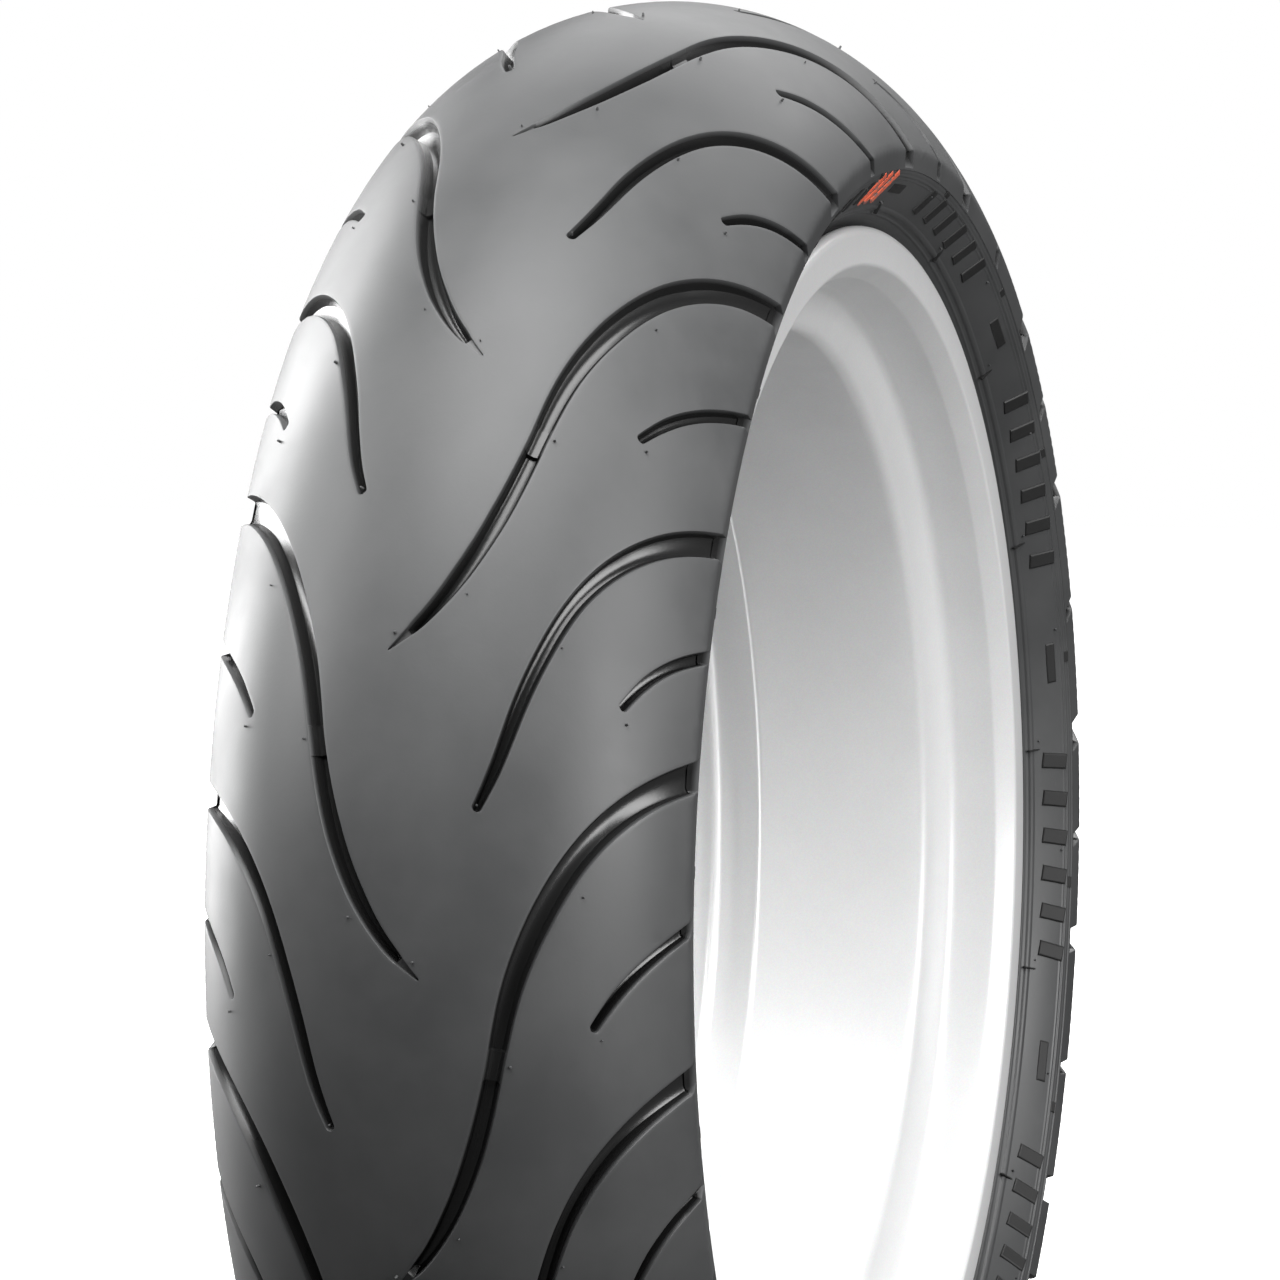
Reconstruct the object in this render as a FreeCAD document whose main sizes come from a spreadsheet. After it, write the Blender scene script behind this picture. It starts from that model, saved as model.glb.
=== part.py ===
"""Radial motorcycle tyre on its rim, with a clamp-in tyre valve.

Frame: the origin is the wheel's centre, +Y is the axle and +Z is up.
Lengths are in millimetres and angles in degrees.
Section points are (y, r): the place along the axle and the radius from it.
"""
import FreeCAD, Part
import Sketcher
import math
import os

Vector = FreeCAD.Vector

# ---------------------------------------------------------------- driving sizes

SIZES = {
    # tyre outside
    "crown_radius": 311.9,
    "profile_radius": 95.2,
    "tread_width": 170.2,
    "wing_drop": 7.0,
    "wing_inset": 1.0,
    "sidewall_thickness": 4.5,
    "foot_rise": 2.7,
    "foot_overhang": 2.5,
    # tyre layers
    "tread_depth": 8.3,
    "belt_thickness": 1.1,
    "outer_belt_width": 112.0,
    "inner_belt_width": 130.0,
    "ply_thickness": 1.3,
    "liner_thickness": 1.2,
    "chafer_thickness": 1.5,
    "chafer_rise": 14.2,
    "lip_rise": 5.0,
    "core_width": 6.0,
    "core_height": 5.6,
    "bead_width": 16.5,
    # tread grooves
    "pitch_count": 9,
    "pattern_start": 18.8,
    "groove_depth": 6.0,
    "groove_edge_depth": 3.0,
    "groove_fade_start": 72.0,
    "groove_floor_share": 0.45,
    "wear_bar_height": 1.6,
    "wear_bar_length": 10.0,
    # rim
    "rim_width": 127.0,
    "bead_seat_radius": 218.3,
    "seat_taper": 5.0,
    "flange_height": 14.0,
    "flange_thickness": 7.0,
    "rim_wall": 4.6,
    "hump_height": 0.8,
    "hump_width": 2.0,
    "well_radius": 195.0,
    "well_near": 36.0,
    "well_far": 20.0,
    "well_slope": 6.0,
    "ledge_radius": 211.0,
    "ledge_wall": 5.0,
    "ledge_step": 2.0,
    # valve
    "valve_offset": 34.9,
    "valve_hole": 10.0,
    "spot_face_gap": 0.5,
    "stem_diameter": 7.8,
    "stem_length": 30.0,
    "head_diameter": 15.0,
    "head_height": 2.4,
    "air_bore": 3.2,
    "core_bore": 5.2,
    "core_depth": 17.0,
    "grommet_height": 2.0,
    "washer_diameter": 14.0,
    "washer_height": 1.2,
    "nut_across_flats": 12.0,
    "nut_height": 4.0,
    "plug_height": 5.0,
    "plug_inset": 1.6,
    "pin_diameter": 1.1,
    "pin_guide_gap": 0.1,
    "pin_proud": 0.6,
    "cup_height": 1.6,
    "cup_diameter": 2.6,
    "collar_diameter": 3.2,
    "collar_height": 0.6,
    "collar_gap": 0.3,
    "barrel_height": 6.0,
    "barrel_wall": 0.6,
    "seal_height": 1.6,
    "spring_wire": 0.3,
    "spring_turns": 5,
    "cap_diameter": 10.6,
    "cap_height": 12.0,
    "cap_gap": 0.2,
    "cap_roof": 1.6,
    "cap_seal_height": 1.0,
    "flute_count": 18,
    "flute_radius": 0.55,
}

# Groove centre lines: (arc length from the crown line, angle round the wheel from the
# long groove's tip, groove width), from the tip out past the tread edge.
LONG_GROOVE = (
    (-8.0, 0.0, 0.8), (1.0, 1.6, 4.2), (14.0, 5.0, 6.4), (24.0, 9.1, 7.0),
    (32.4, 14.6, 6.4), (38.0, 19.0, 7.6), (48.0, 23.7, 9.0), (66.0, 28.9, 9.6),
    (89.0, 32.4, 10.0), (113.0, 34.5, 11.0),
)
SHORT_GROOVE = (
    (25.4, -9.7, 3.4), (30.6, -7.4, 4.6), (37.6, -3.1, 5.6), (44.4, 0.5, 6.0),
    (53.4, 4.1, 6.4), (66.4, 7.3, 7.6), (89.0, 10.4, 8.8), (113.0, 12.2, 9.4),
)
INNER_SIPE = ((65.6, 16.4, 3.6), (75.0, 18.6, 4.6), (90.0, 21.0, 4.8), (113.0, 23.6, 5.0))
OUTER_SIPE = ((72.6, -2.4, 3.4), (81.0, -0.3, 4.4), (93.0, 1.6, 4.6), (113.0, 3.5, 4.8))
WEAR_BAR_STATION = 4


def side_y(depth, radius):
    """Formula for y on the sidewall line moved inwards by depth, at a radius."""
    return (f"(wing_y + ({depth}) * normal_y + (({radius}) - wing_r"
            f" - ({depth}) * normal_r) * along_y / along_r)")


def side_r(depth, y):
    """Formula for the radius on the sidewall line moved inwards by depth, at a y."""
    return (f"(wing_r + ({depth}) * normal_r + (({y}) - wing_y"
            f" - ({depth}) * normal_y) * along_r / along_y)")


def crown_r(layer_radius, y):
    """Formula for the radius of a crown layer of the given arc radius at a y."""
    return f"(crown_centre + sqrt(({layer_radius}) ^ 2 - ({y}) ^ 2))"


def corner_cells(name, layer_radius, depth):
    """Formulas for the corner where a crown layer meets its sidewall line."""
    from_y = f"(wing_y + ({depth}) * normal_y)"
    from_r = f"(wing_r - crown_centre + ({depth}) * normal_r)"
    return {
        f"{name}_lean": f"{from_y} * along_y + {from_r} * along_r",
        f"{name}_run": (f"-{name}_lean - sqrt({name}_lean ^ 2 - {from_y} ^ 2"
                        f" - {from_r} ^ 2 + ({layer_radius}) ^ 2)"),
        f"{name}_y": f"{from_y} + {name}_run * along_y",
        f"{name}_r": f"crown_centre + {from_r} + {name}_run * along_r",
    }


def worked_out_cells():
    """Places that follow from the driving sizes, in the order they depend on each other."""
    cells = {
        "crown_centre": "Sizes.crown_radius - Sizes.profile_radius",
        "edge_y": "Sizes.tread_width / 2",
        "edge_r": crown_r("Sizes.profile_radius", "edge_y"),
        "bead_y": "Sizes.rim_width / 2",
        "flange_r": "Sizes.bead_seat_radius + Sizes.flange_height",
        "foot_y": "bead_y + Sizes.foot_overhang",
        "foot_r": "flange_r + Sizes.foot_rise",
        "wing_y": "edge_y - Sizes.wing_inset",
        "wing_r": "edge_r - Sizes.wing_drop",
        "side_run": "sqrt((foot_y - wing_y) ^ 2 + (foot_r - wing_r) ^ 2)",
        "along_y": "(foot_y - wing_y) / side_run",
        "along_r": "(foot_r - wing_r) / side_run",
        "normal_y": "along_r",
        "normal_r": "-along_y",
        "ply_depth": "Sizes.sidewall_thickness",
        "liner_depth": "ply_depth + Sizes.ply_thickness",
        "air_depth": "liner_depth + Sizes.liner_thickness",
        "outer_belt_arc": "Sizes.profile_radius - Sizes.tread_depth",
        "inner_belt_arc": "outer_belt_arc - Sizes.belt_thickness",
        "ply_arc": "inner_belt_arc - Sizes.belt_thickness",
        "liner_arc": "ply_arc - Sizes.ply_thickness",
        "air_arc": "liner_arc - Sizes.liner_thickness",
        "outer_belt_y": "Sizes.outer_belt_width / 2",
        "inner_belt_y": "Sizes.inner_belt_width / 2",
        "wing_root_y": "wing_y + ply_depth * normal_y",
        "wing_root_r": "wing_r + ply_depth * normal_r",
    }
    cells.update(corner_cells("ply", "ply_arc", "ply_depth"))
    cells.update(corner_cells("liner", "liner_arc", "liner_depth"))
    cells.update(corner_cells("air", "air_arc", "air_depth"))
    cells.update({
        "seat_slope": "tan(Sizes.seat_taper)",
        "toe_y": "bead_y - Sizes.bead_width",
        "toe_r": "Sizes.bead_seat_radius - Sizes.bead_width * seat_slope",
        "chafer_y": "bead_y - Sizes.chafer_thickness",
        "chafer_top": "Sizes.bead_seat_radius + Sizes.chafer_rise",
        "heel_r": "Sizes.bead_seat_radius + Sizes.chafer_thickness",
        "lip_y": "toe_y + Sizes.chafer_thickness",
        "lip_foot_r": "toe_r + Sizes.chafer_thickness",
        "lip_r": "toe_r + Sizes.lip_rise",
        "ply_knee_y": side_y("ply_depth", "foot_r"),
        "liner_knee_y": side_y("liner_depth", "foot_r"),
        "air_knee_y": side_y("air_depth", "foot_r"),
        "turn_y": "chafer_y - Sizes.ply_thickness",
        "turn_r": "heel_r + Sizes.ply_thickness",
        "turn_toe_y": "lip_y + Sizes.ply_thickness",
        "apex_r": side_r("ply_depth", "turn_y"),
        "core_y": "turn_y - Sizes.core_width",
        "core_r": "turn_r + Sizes.core_height",
    })
    cells.update({
        "flange_y": "bead_y + Sizes.flange_thickness",
        "flange_round": "Sizes.flange_thickness / 2",
        "flange_middle_y": "bead_y + flange_round",
        "flange_spring_r": "flange_r - flange_round",
        "seat_back_r": "Sizes.bead_seat_radius - Sizes.rim_wall",
        "well_top_r": "Sizes.well_radius + Sizes.rim_wall",
        "hump_foot_y": "toe_y",
        "hump_top_y": "toe_y - Sizes.hump_width / 2",
        "hump_end_y": "toe_y - Sizes.hump_width * 3 / 2",
        "hump_drop_y": "toe_y - Sizes.hump_width * 2",
        "hump_r": "toe_r + Sizes.hump_height",
        "seat_back_end_r": "toe_r - Sizes.rim_wall",
        "well_near_back": "Sizes.well_near + Sizes.rim_wall",
        "well_far_back": "Sizes.well_far + Sizes.rim_wall",
        "near_rim_back": "well_near_back + Sizes.well_slope",
        "ledge_y": "Sizes.well_far + Sizes.rim_wall",
        "ledge_back_r": "Sizes.ledge_radius - Sizes.ledge_wall",
        "ledge_back_y": "well_far_back + Sizes.ledge_step",
        "ledge_end_y": "hump_drop_y",
        "far_seat_back_y": "ledge_end_y + Sizes.rim_wall",
    })
    cells.update({
        "stem_radius": "Sizes.stem_diameter / 2",
        "head_foot": "-Sizes.grommet_height - Sizes.head_height",
        "washer_foot": "Sizes.ledge_wall",
        "nut_foot": "washer_foot + Sizes.washer_height",
        "core_floor": "Sizes.stem_length - Sizes.core_depth",
        "plug_top": "Sizes.stem_length - Sizes.plug_inset",
        "plug_foot": "plug_top - Sizes.plug_height",
        "seal_foot": "plug_foot - Sizes.seal_height",
        "barrel_foot": "seal_foot - Sizes.barrel_height",
        "barrel_radius": "Sizes.core_bore / 2 - Sizes.pin_guide_gap",
        "guide_radius": "Sizes.pin_diameter / 2 + Sizes.pin_guide_gap",
        "chamber_radius": "barrel_radius - Sizes.barrel_wall",
        "pin_top": "Sizes.stem_length - Sizes.pin_proud",
        "cup_top": "barrel_foot",
        "cup_foot": "cup_top - Sizes.cup_height",
        "collar_top": "seal_foot - Sizes.collar_gap",
        "collar_foot": "collar_top - Sizes.collar_height",
        "cap_bore": "stem_radius + Sizes.cap_gap",
        "cap_seal_foot": "Sizes.stem_length",
        "cap_foot": "cap_seal_foot + Sizes.cap_seal_height + Sizes.cap_roof - Sizes.cap_height",
    })
    return cells


# ---------------------------------------------------------------- document helpers

def fill_sheet(doc, name, cells, formula):
    """A sheet with one named cell in each row."""
    sheet = doc.addObject("Spreadsheet::Sheet", name)
    for row, (alias, content) in enumerate(cells.items(), start=1):
        sheet.set(f"A{row}", alias)
        sheet.set(f"B{row}", f"={content}" if formula else str(content))
        sheet.setAlias(f"B{row}", alias)
    doc.recompute()
    return sheet


class Model:
    """The document, its two sheets and the finished sub-parts."""

    def __init__(self):
        self.doc = FreeCAD.newDocument("motorcycle_tyre")
        self.sizes = fill_sheet(self.doc, "Sizes", SIZES, formula=False)
        self.places = fill_sheet(self.doc, "Places", worked_out_cells(), formula=True)
        self.nodes = []

    def value(self, expression):
        """The number that an expression on the sheets gives now."""
        result = self.places.evalExpression(expression)
        return float(getattr(result, "Value", result))

    def keep(self, thing, label):
        """Name a finished sub-part, so that it is checked and written."""
        thing.Label = label
        self.nodes.append(thing)
        return thing


def bound(expression):
    """The same expression as seen from outside the Places sheet."""
    words = []
    for word in tokens(expression):
        is_name = word[0].isalpha() and word not in ("sqrt", "tan", "sin", "cos")
        words.append(f"Places.{word}" if is_name and "." not in word else word)
    return "".join(words)


def tokens(expression):
    """Split an expression into names, numbers and signs."""
    found = []
    word = ""
    for letter in expression + " ":
        if letter.isalnum() or letter in "._":
            word += letter
            continue
        if word:
            found.append(word)
        found.append(letter)
        word = ""
    return found[:-1]


def plane_of(body, role):
    """One of a body's own origin planes."""
    return next(item for item in body.Origin.OriginFeatures if item.Role == role)


def add_sketch(model, body, name, role, offset=None):
    """A sketch on one of the body's origin planes, moved along its normal by an offset."""
    sketch = body.newObject("Sketcher::SketchObject", name)
    sketch.AttachmentSupport = [(plane_of(body, role), "")]
    sketch.MapMode = "FlatFace"
    if offset:
        sketch.setExpression("AttachmentOffset.Base.z", bound(offset))
    return sketch


def arc_between(start, end, radius):
    """The minor arc from start to end; a positive radius bulges to the left of the way."""
    chord = end - start
    half = chord.Length / 2
    left = Vector(-chord.y, chord.x, 0).normalize()
    reach = math.sqrt(max(radius * radius - half * half, 0.0))
    turn = 1 if radius > 0 else -1
    centre = start + chord * 0.5 - left * reach * turn
    first, last = (end, start) if turn > 0 else (start, end)
    begin = math.atan2(first.y - centre.y, first.x - centre.x)
    finish = math.atan2(last.y - centre.y, last.x - centre.x)
    if finish < begin:
        finish += 2 * math.pi
    circle = Part.Circle(centre, Vector(0, 0, 1), abs(radius))
    return Part.ArcOfCircle(circle, begin, finish), turn > 0


def draw_outline(model, sketch, corners, arcs=None):
    """A closed outline through corners given as pairs of expressions.

    arcs maps the number of a corner to the radius expression of the arc that leaves it,
    with a minus sign in front where it bulges to the right of the way round.
    """
    arcs = arcs or {}
    spots = [Vector(model.value(a), model.value(b), 0) for a, b in corners]
    ends = []
    for index, start in enumerate(spots):
        end = spots[(index + 1) % len(spots)]
        if index in arcs:
            shape, flipped = arc_between(start, end, model.value(arcs[index]))
            edge = sketch.addGeometry(shape, False)
            ends.append((edge, 2, 1) if flipped else (edge, 1, 2))
        else:
            edge = sketch.addGeometry(Part.LineSegment(start, end), False)
            ends.append((edge, 1, 2))
    join_outline(sketch, ends)
    fix_corners(model, sketch, corners, ends)
    for index, radius in arcs.items():
        bind_radius(model, sketch, ends[index][0], radius.lstrip("-"))


def join_outline(sketch, ends):
    """Make each edge of an outline start where the one before it ends."""
    for index, (edge, start, _) in enumerate(ends):
        before, _, finish = ends[index - 1]
        sketch.addConstraint(constraint("Coincident", before, finish, edge, start))


def constraint(*values):
    """A sketch constraint."""
    return Sketcher.Constraint(*values)


def bind(model, sketch, number, expression):
    """Tie the value of a sketch constraint to an expression on the sheets."""
    sketch.setExpression(f"Constraints[{number}]", bound(expression))


def fix_corners(model, sketch, corners, ends):
    """Hold each corner of an outline at its two expressions."""
    for (across, up), (edge, start, _) in zip(corners, ends):
        for kind, expression in (("DistanceX", across), ("DistanceY", up)):
            value = model.value(expression)
            if abs(value) < 1e-9:
                on_axis = "PointOnObject"
                axis = -2 if kind == "DistanceX" else -1
                sketch.addConstraint(constraint(on_axis, edge, start, axis))
                continue
            number = sketch.addConstraint(constraint(kind, -1, 1, edge, start, value))
            bind(model, sketch, number, expression)


def bind_radius(model, sketch, edge, expression):
    """Hold an arc's or circle's radius at an expression."""
    value = model.value(expression)
    number = sketch.addConstraint(constraint("Radius", edge, value))
    bind(model, sketch, number, expression)


def revolve(model, body, sketch, axis):
    """Turn a sketch once round one of its own axes."""
    ring = body.newObject("PartDesign::Revolution", f"{body.Name}_turned")
    ring.Profile = sketch
    ring.ReferenceAxis = (sketch, [axis])
    ring.Angle = 360
    body.Tip = ring
    return ring


def wheel_ring(model, label, corners, arcs=None):
    """A ring about the axle whose section is an outline in (y, r)."""
    body = model.doc.addObject("PartDesign::Body", label)
    sketch = add_sketch(model, body, f"{label}_section", "YZ_Plane")
    draw_outline(model, sketch, corners, arcs)
    revolve(model, body, sketch, "H_Axis")
    return body


def mirrored(corners):
    """The same corners on the other side of the wheel's middle plane, in reverse."""
    return [(f"-({y})", r) for y, r in reversed(corners)]


def both_sides(model, label, corners):
    """A ring on the +Y side, named label_right, and its mirror image, label_left."""
    right = model.keep(wheel_ring(model, f"{label}_right", corners), f"{label}_right")
    left = model.doc.addObject("Part::Mirroring", f"{label}_left")
    left.Source = right
    left.Normal = Vector(0, 1, 0)
    model.keep(left, f"{label}_left")


# ---------------------------------------------------------------- tyre layers

def tread_band(model):
    """The tread rubber before its grooves: crown, shoulders and the wings below them."""
    half = [
        ("edge_y", "edge_r"),
        ("wing_y", "wing_r"),
        ("wing_root_y", "wing_root_r"),
        ("ply_y", "ply_r"),
        ("inner_belt_y", crown_r("ply_arc", "inner_belt_y")),
        ("inner_belt_y", crown_r("inner_belt_arc", "inner_belt_y")),
        ("outer_belt_y", crown_r("inner_belt_arc", "outer_belt_y")),
        ("outer_belt_y", crown_r("outer_belt_arc", "outer_belt_y")),
    ]
    arcs = {
        3: "ply_arc", 5: "inner_belt_arc", 7: "outer_belt_arc",
        9: "inner_belt_arc", 11: "ply_arc", 15: "-Sizes.profile_radius",
    }
    return wheel_ring(model, "tread_band", half + mirrored(half), flip(arcs))


def flip(arcs):
    """The same arcs bulging to the other side."""
    return {k: v[1:] if v.startswith("-") else f"-{v}" for k, v in arcs.items()}


def belt(model, label, arc, next_arc, half_width):
    """One belt ply under the crown."""
    half = [(half_width, crown_r(arc, half_width)), (half_width, crown_r(next_arc, half_width))]
    body = wheel_ring(model, label, half + mirrored(half), {1: f"-{next_arc}", 3: arc})
    model.keep(body, label)


def carcass(model):
    """The body ply from bead to bead, turned up round each bead core."""
    half = [
        ("ply_y", "ply_r"),
        ("ply_knee_y", "foot_r"),
        ("turn_toe_y", "turn_r"),
        ("turn_y", "turn_r"),
        ("turn_y", "chafer_top"),
        ("chafer_y", "chafer_top"),
        ("chafer_y", "heel_r"),
        ("lip_y", "lip_foot_r"),
        ("lip_y", "lip_r"),
        ("liner_knee_y", "foot_r"),
        ("liner_y", "liner_r"),
    ]
    arcs = {10: "-liner_arc", 21: "ply_arc"}
    model.keep(wheel_ring(model, "carcass_ply", half + mirrored(half), arcs), "carcass_ply")


def inner_liner(model):
    """The airtight layer inside the carcass."""
    half = [
        ("liner_y", "liner_r"),
        ("liner_knee_y", "foot_r"),
        ("lip_y", "lip_r"),
        ("toe_y", "lip_r"),
        ("air_knee_y", "foot_r"),
        ("air_y", "air_r"),
    ]
    arcs = {5: "-air_arc", 11: "liner_arc"}
    model.keep(wheel_ring(model, "inner_liner", half + mirrored(half), arcs), "inner_liner")


def sidewalls(model):
    """The outer rubber from the tread's wings down to the chafers."""
    both_sides(model, "sidewall", [
        ("wing_y", "wing_r"),
        ("foot_y", "foot_r"),
        ("bead_y", "chafer_top"),
        ("turn_y", "chafer_top"),
        ("turn_y", "apex_r"),
        ("wing_root_y", "wing_root_r"),
    ])


def bead_pieces(model):
    """Steel core, hard filler and chafer strip of each bead."""
    both_sides(model, "bead_core", [
        ("core_y", "turn_r"), ("turn_y", "turn_r"), ("turn_y", "core_r"), ("core_y", "core_r"),
    ])
    both_sides(model, "bead_filler", [
        ("turn_toe_y", "turn_r"),
        ("core_y", "turn_r"),
        ("core_y", "core_r"),
        ("turn_y", "core_r"),
        ("turn_y", "apex_r"),
        ("ply_knee_y", "foot_r"),
    ])
    both_sides(model, "chafer", [
        ("bead_y", "Sizes.bead_seat_radius"),
        ("toe_y", "toe_r"),
        ("toe_y", "lip_r"),
        ("lip_y", "lip_r"),
        ("lip_y", "lip_foot_r"),
        ("chafer_y", "heel_r"),
        ("chafer_y", "chafer_top"),
        ("bead_y", "chafer_top"),
    ])


# ---------------------------------------------------------------- tread grooves

def crown_point(model, arc_length, angle, height=0.0):
    """A point over the crown surface, and the surface's outward normal there."""
    profile = model.value("Sizes.profile_radius")
    lean = arc_length / profile
    turn = math.radians(angle + model.value("Sizes.pattern_start"))
    normal = Vector(math.cos(lean) * math.cos(turn), math.sin(lean),
                    math.cos(lean) * math.sin(turn))
    centre_r = model.value("crown_centre")
    centre = Vector(centre_r * math.cos(turn), 0, centre_r * math.sin(turn))
    return centre + normal * (profile + height), normal


def groove_section(spot, normal, along, width, depth, floor_share):
    """The closed cross-section of a groove cutter at one station."""
    across = normal.cross(along).normalize()
    rise = depth / 2
    flare = width / 2 * (1 + (1 - floor_share) * rise / depth)
    floor = width / 2 * floor_share
    corners = [
        spot + normal * rise + across * flare,
        spot - normal * depth + across * floor,
        spot - normal * depth - across * floor,
        spot + normal * rise - across * flare,
    ]
    return Part.makePolygon(corners + corners[:1])


def groove_depth(model, arc_length):
    """How deep a groove is at a place across the tread: it fades towards the edge."""
    full = model.value("Sizes.groove_depth")
    start = model.value("Sizes.groove_fade_start")
    profile = model.value("Sizes.profile_radius")
    end = profile * math.asin(model.value("edge_y") / profile)
    faded = min(max((arc_length - start) / (end - start), 0.0), 1.0)
    return full + (model.value("Sizes.groove_edge_depth") - full) * faded


def groove_cutter(model, stations, wear_bar_at=None):
    """The solid that one groove takes out of the tread."""
    share = model.value("Sizes.groove_floor_share")
    spots = [crown_point(model, arc_length, angle) for arc_length, angle, _ in stations]
    line = Part.BSplineCurve()
    line.interpolate([spot for spot, _ in spots])
    sections = []
    for (spot, normal), (arc_length, _, width) in zip(spots, stations):
        along = Vector(*line.tangent(line.parameter(spot))[0])
        depth = groove_depth(model, arc_length)
        sections.append(groove_section(spot, normal, along, width, depth, share))
    cutter = Part.makeLoft(sections, True, False)
    if wear_bar_at is not None:
        along = Vector(*line.tangent(line.parameter(spots[wear_bar_at][0]))[0])
        depth = groove_depth(model, stations[wear_bar_at][0])
        cutter = cutter.cut(wear_bar(model, *spots[wear_bar_at], along, depth))
    return cutter


def wear_bar(model, spot, normal, along, depth):
    """The block left standing on a groove's floor as a wear mark."""
    length = model.value("Sizes.wear_bar_length")
    height = model.value("Sizes.wear_bar_height")
    reach = depth * 2
    across = normal.cross(along).normalize()
    corner = spot - normal * (depth + reach) - along * (length / 2) - across * reach
    sides = [along * length, across * reach * 2]
    outline = [corner, corner + sides[0], corner + sides[0] + sides[1], corner + sides[1]]
    face = Part.Face(Part.makePolygon(outline + outline[:1]))
    return face.extrude(normal * (reach + height))


def groove_cutters(model):
    """Every groove cutter of both halves of the tread."""
    pitch = 360 / model.value("Sizes.pitch_count")
    one_pitch = [
        groove_cutter(model, LONG_GROOVE, WEAR_BAR_STATION),
        groove_cutter(model, SHORT_GROOVE),
        groove_cutter(model, INNER_SIPE),
        groove_cutter(model, OUTER_SIPE),
    ]
    origin = Vector(0, 0, 0)
    axle = Vector(0, 1, 0)
    cutters = []
    for cutter in one_pitch:
        other_half = cutter.mirror(origin, axle)
        other_half.rotate(origin, axle, -pitch / 2)
        for solid in (cutter, other_half):
            for step in range(int(model.value("Sizes.pitch_count"))):
                copy = solid.copy()
                copy.rotate(origin, axle, -pitch * step)
                cutters.append(copy)
    feature = model.doc.addObject("Part::Feature", "groove_cutters")
    feature.Shape = Part.makeCompound(cutters)
    return feature


def tread(model):
    """The tread with its grooves cut."""
    cut = model.doc.addObject("Part::Cut", "tread")
    cut.Base = tread_band(model)
    cut.Tool = groove_cutters(model)
    model.keep(cut, "tread")


# ---------------------------------------------------------------- rim

def rim(model):
    """The rim barrel: flanges, bead seats, humps, drop well and valve ledge."""
    near = [
        ("flange_y", "flange_spring_r"),
        ("flange_middle_y", "flange_r"),
        ("bead_y", "flange_spring_r"),
        ("bead_y", "Sizes.bead_seat_radius"),
        ("hump_foot_y", "toe_r"),
        ("hump_top_y", "hump_r"),
        ("hump_end_y", "hump_r"),
    ]
    near_back = [
        ("well_near_back", "Sizes.well_radius"),
        ("near_rim_back", "seat_back_end_r"),
        ("bead_y", "seat_back_r"),
        ("flange_y", "Sizes.bead_seat_radius"),
    ]
    near_well = [("hump_drop_y", "toe_r"), ("Sizes.well_near", "well_top_r")]
    far_well = [
        ("-Sizes.well_far", "well_top_r"),
        ("-ledge_y", "Sizes.ledge_radius"),
        ("-ledge_end_y", "Sizes.ledge_radius"),
    ]
    far_back = [
        ("-flange_y", "Sizes.bead_seat_radius"),
        ("-bead_y", "seat_back_r"),
        ("-far_seat_back_y", "seat_back_end_r"),
        ("-ledge_end_y", "ledge_back_r"),
        ("-ledge_back_y", "ledge_back_r"),
        ("-well_far_back", "Sizes.well_radius"),
    ]
    corners = near + near_well + far_well + mirrored(near) + far_back + near_back
    far_flange = len(near + near_well + far_well) + len(near) - 3
    arcs = {place: "-flange_round" for place in (0, 1, far_flange, far_flange + 1)}
    body = wheel_ring(model, "rim", corners, arcs)
    model.doc.recompute()
    drill_rim(model, body, "valve_hole", "Sizes.valve_hole / 2", "Sizes.crown_radius")
    drill_rim(model, body, "spot_face", "Sizes.washer_diameter / 2 + Sizes.spot_face_gap",
              "ledge_back_r")
    model.keep(body, "rim")


def drill_rim(model, body, name, radius, reach):
    """A round pocket on the valve's axis, from the axle's height down to a reach."""
    sketch = add_sketch(model, body, name, "XY_Plane")
    offset = model.value("Sizes.valve_offset")
    outline = Part.Circle(Vector(0, -offset, 0), Vector(0, 0, 1), model.value(radius))
    circle = sketch.addGeometry(outline, False)
    sketch.addConstraint(constraint("PointOnObject", circle, 3, -2))
    number = sketch.addConstraint(constraint("DistanceY", circle, 3, -1, 1, offset))
    bind(model, sketch, number, "Sizes.valve_offset")
    bind_radius(model, sketch, circle, radius)
    before = body.Shape.Volume
    drill = body.newObject("PartDesign::Pocket", f"{name}_cut")
    drill.Profile = sketch
    drill.Type = "Length"
    drill.setExpression("Length", bound(reach))
    body.Tip = drill
    model.doc.recompute()
    if before and body.Shape.Volume >= before:
        raise RuntimeError(f"{name} cut nothing")


# ---------------------------------------------------------------- valve

def place_on_valve(thing):
    """Put a piece drawn about its own Z axis on the valve's axis, standing on the ledge."""
    thing.setExpression("Placement.Base.y", "-Sizes.valve_offset")
    thing.setExpression("Placement.Base.z", "-Sizes.ledge_radius")


def valve_turning(model, label, corners):
    """A turned valve piece whose section is an outline in (radius, height)."""
    body = model.doc.addObject("PartDesign::Body", label)
    sketch = add_sketch(model, body, f"{label}_section", "XZ_Plane")
    draw_outline(model, sketch, corners)
    revolve(model, body, sketch, "V_Axis")
    place_on_valve(body)
    return model.keep(body, label)


def tube_section(inner, outer, foot, top):
    """The outline of a plain tube or ring."""
    return [(inner, foot), (outer, foot), (outer, top), (inner, top)]


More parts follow.
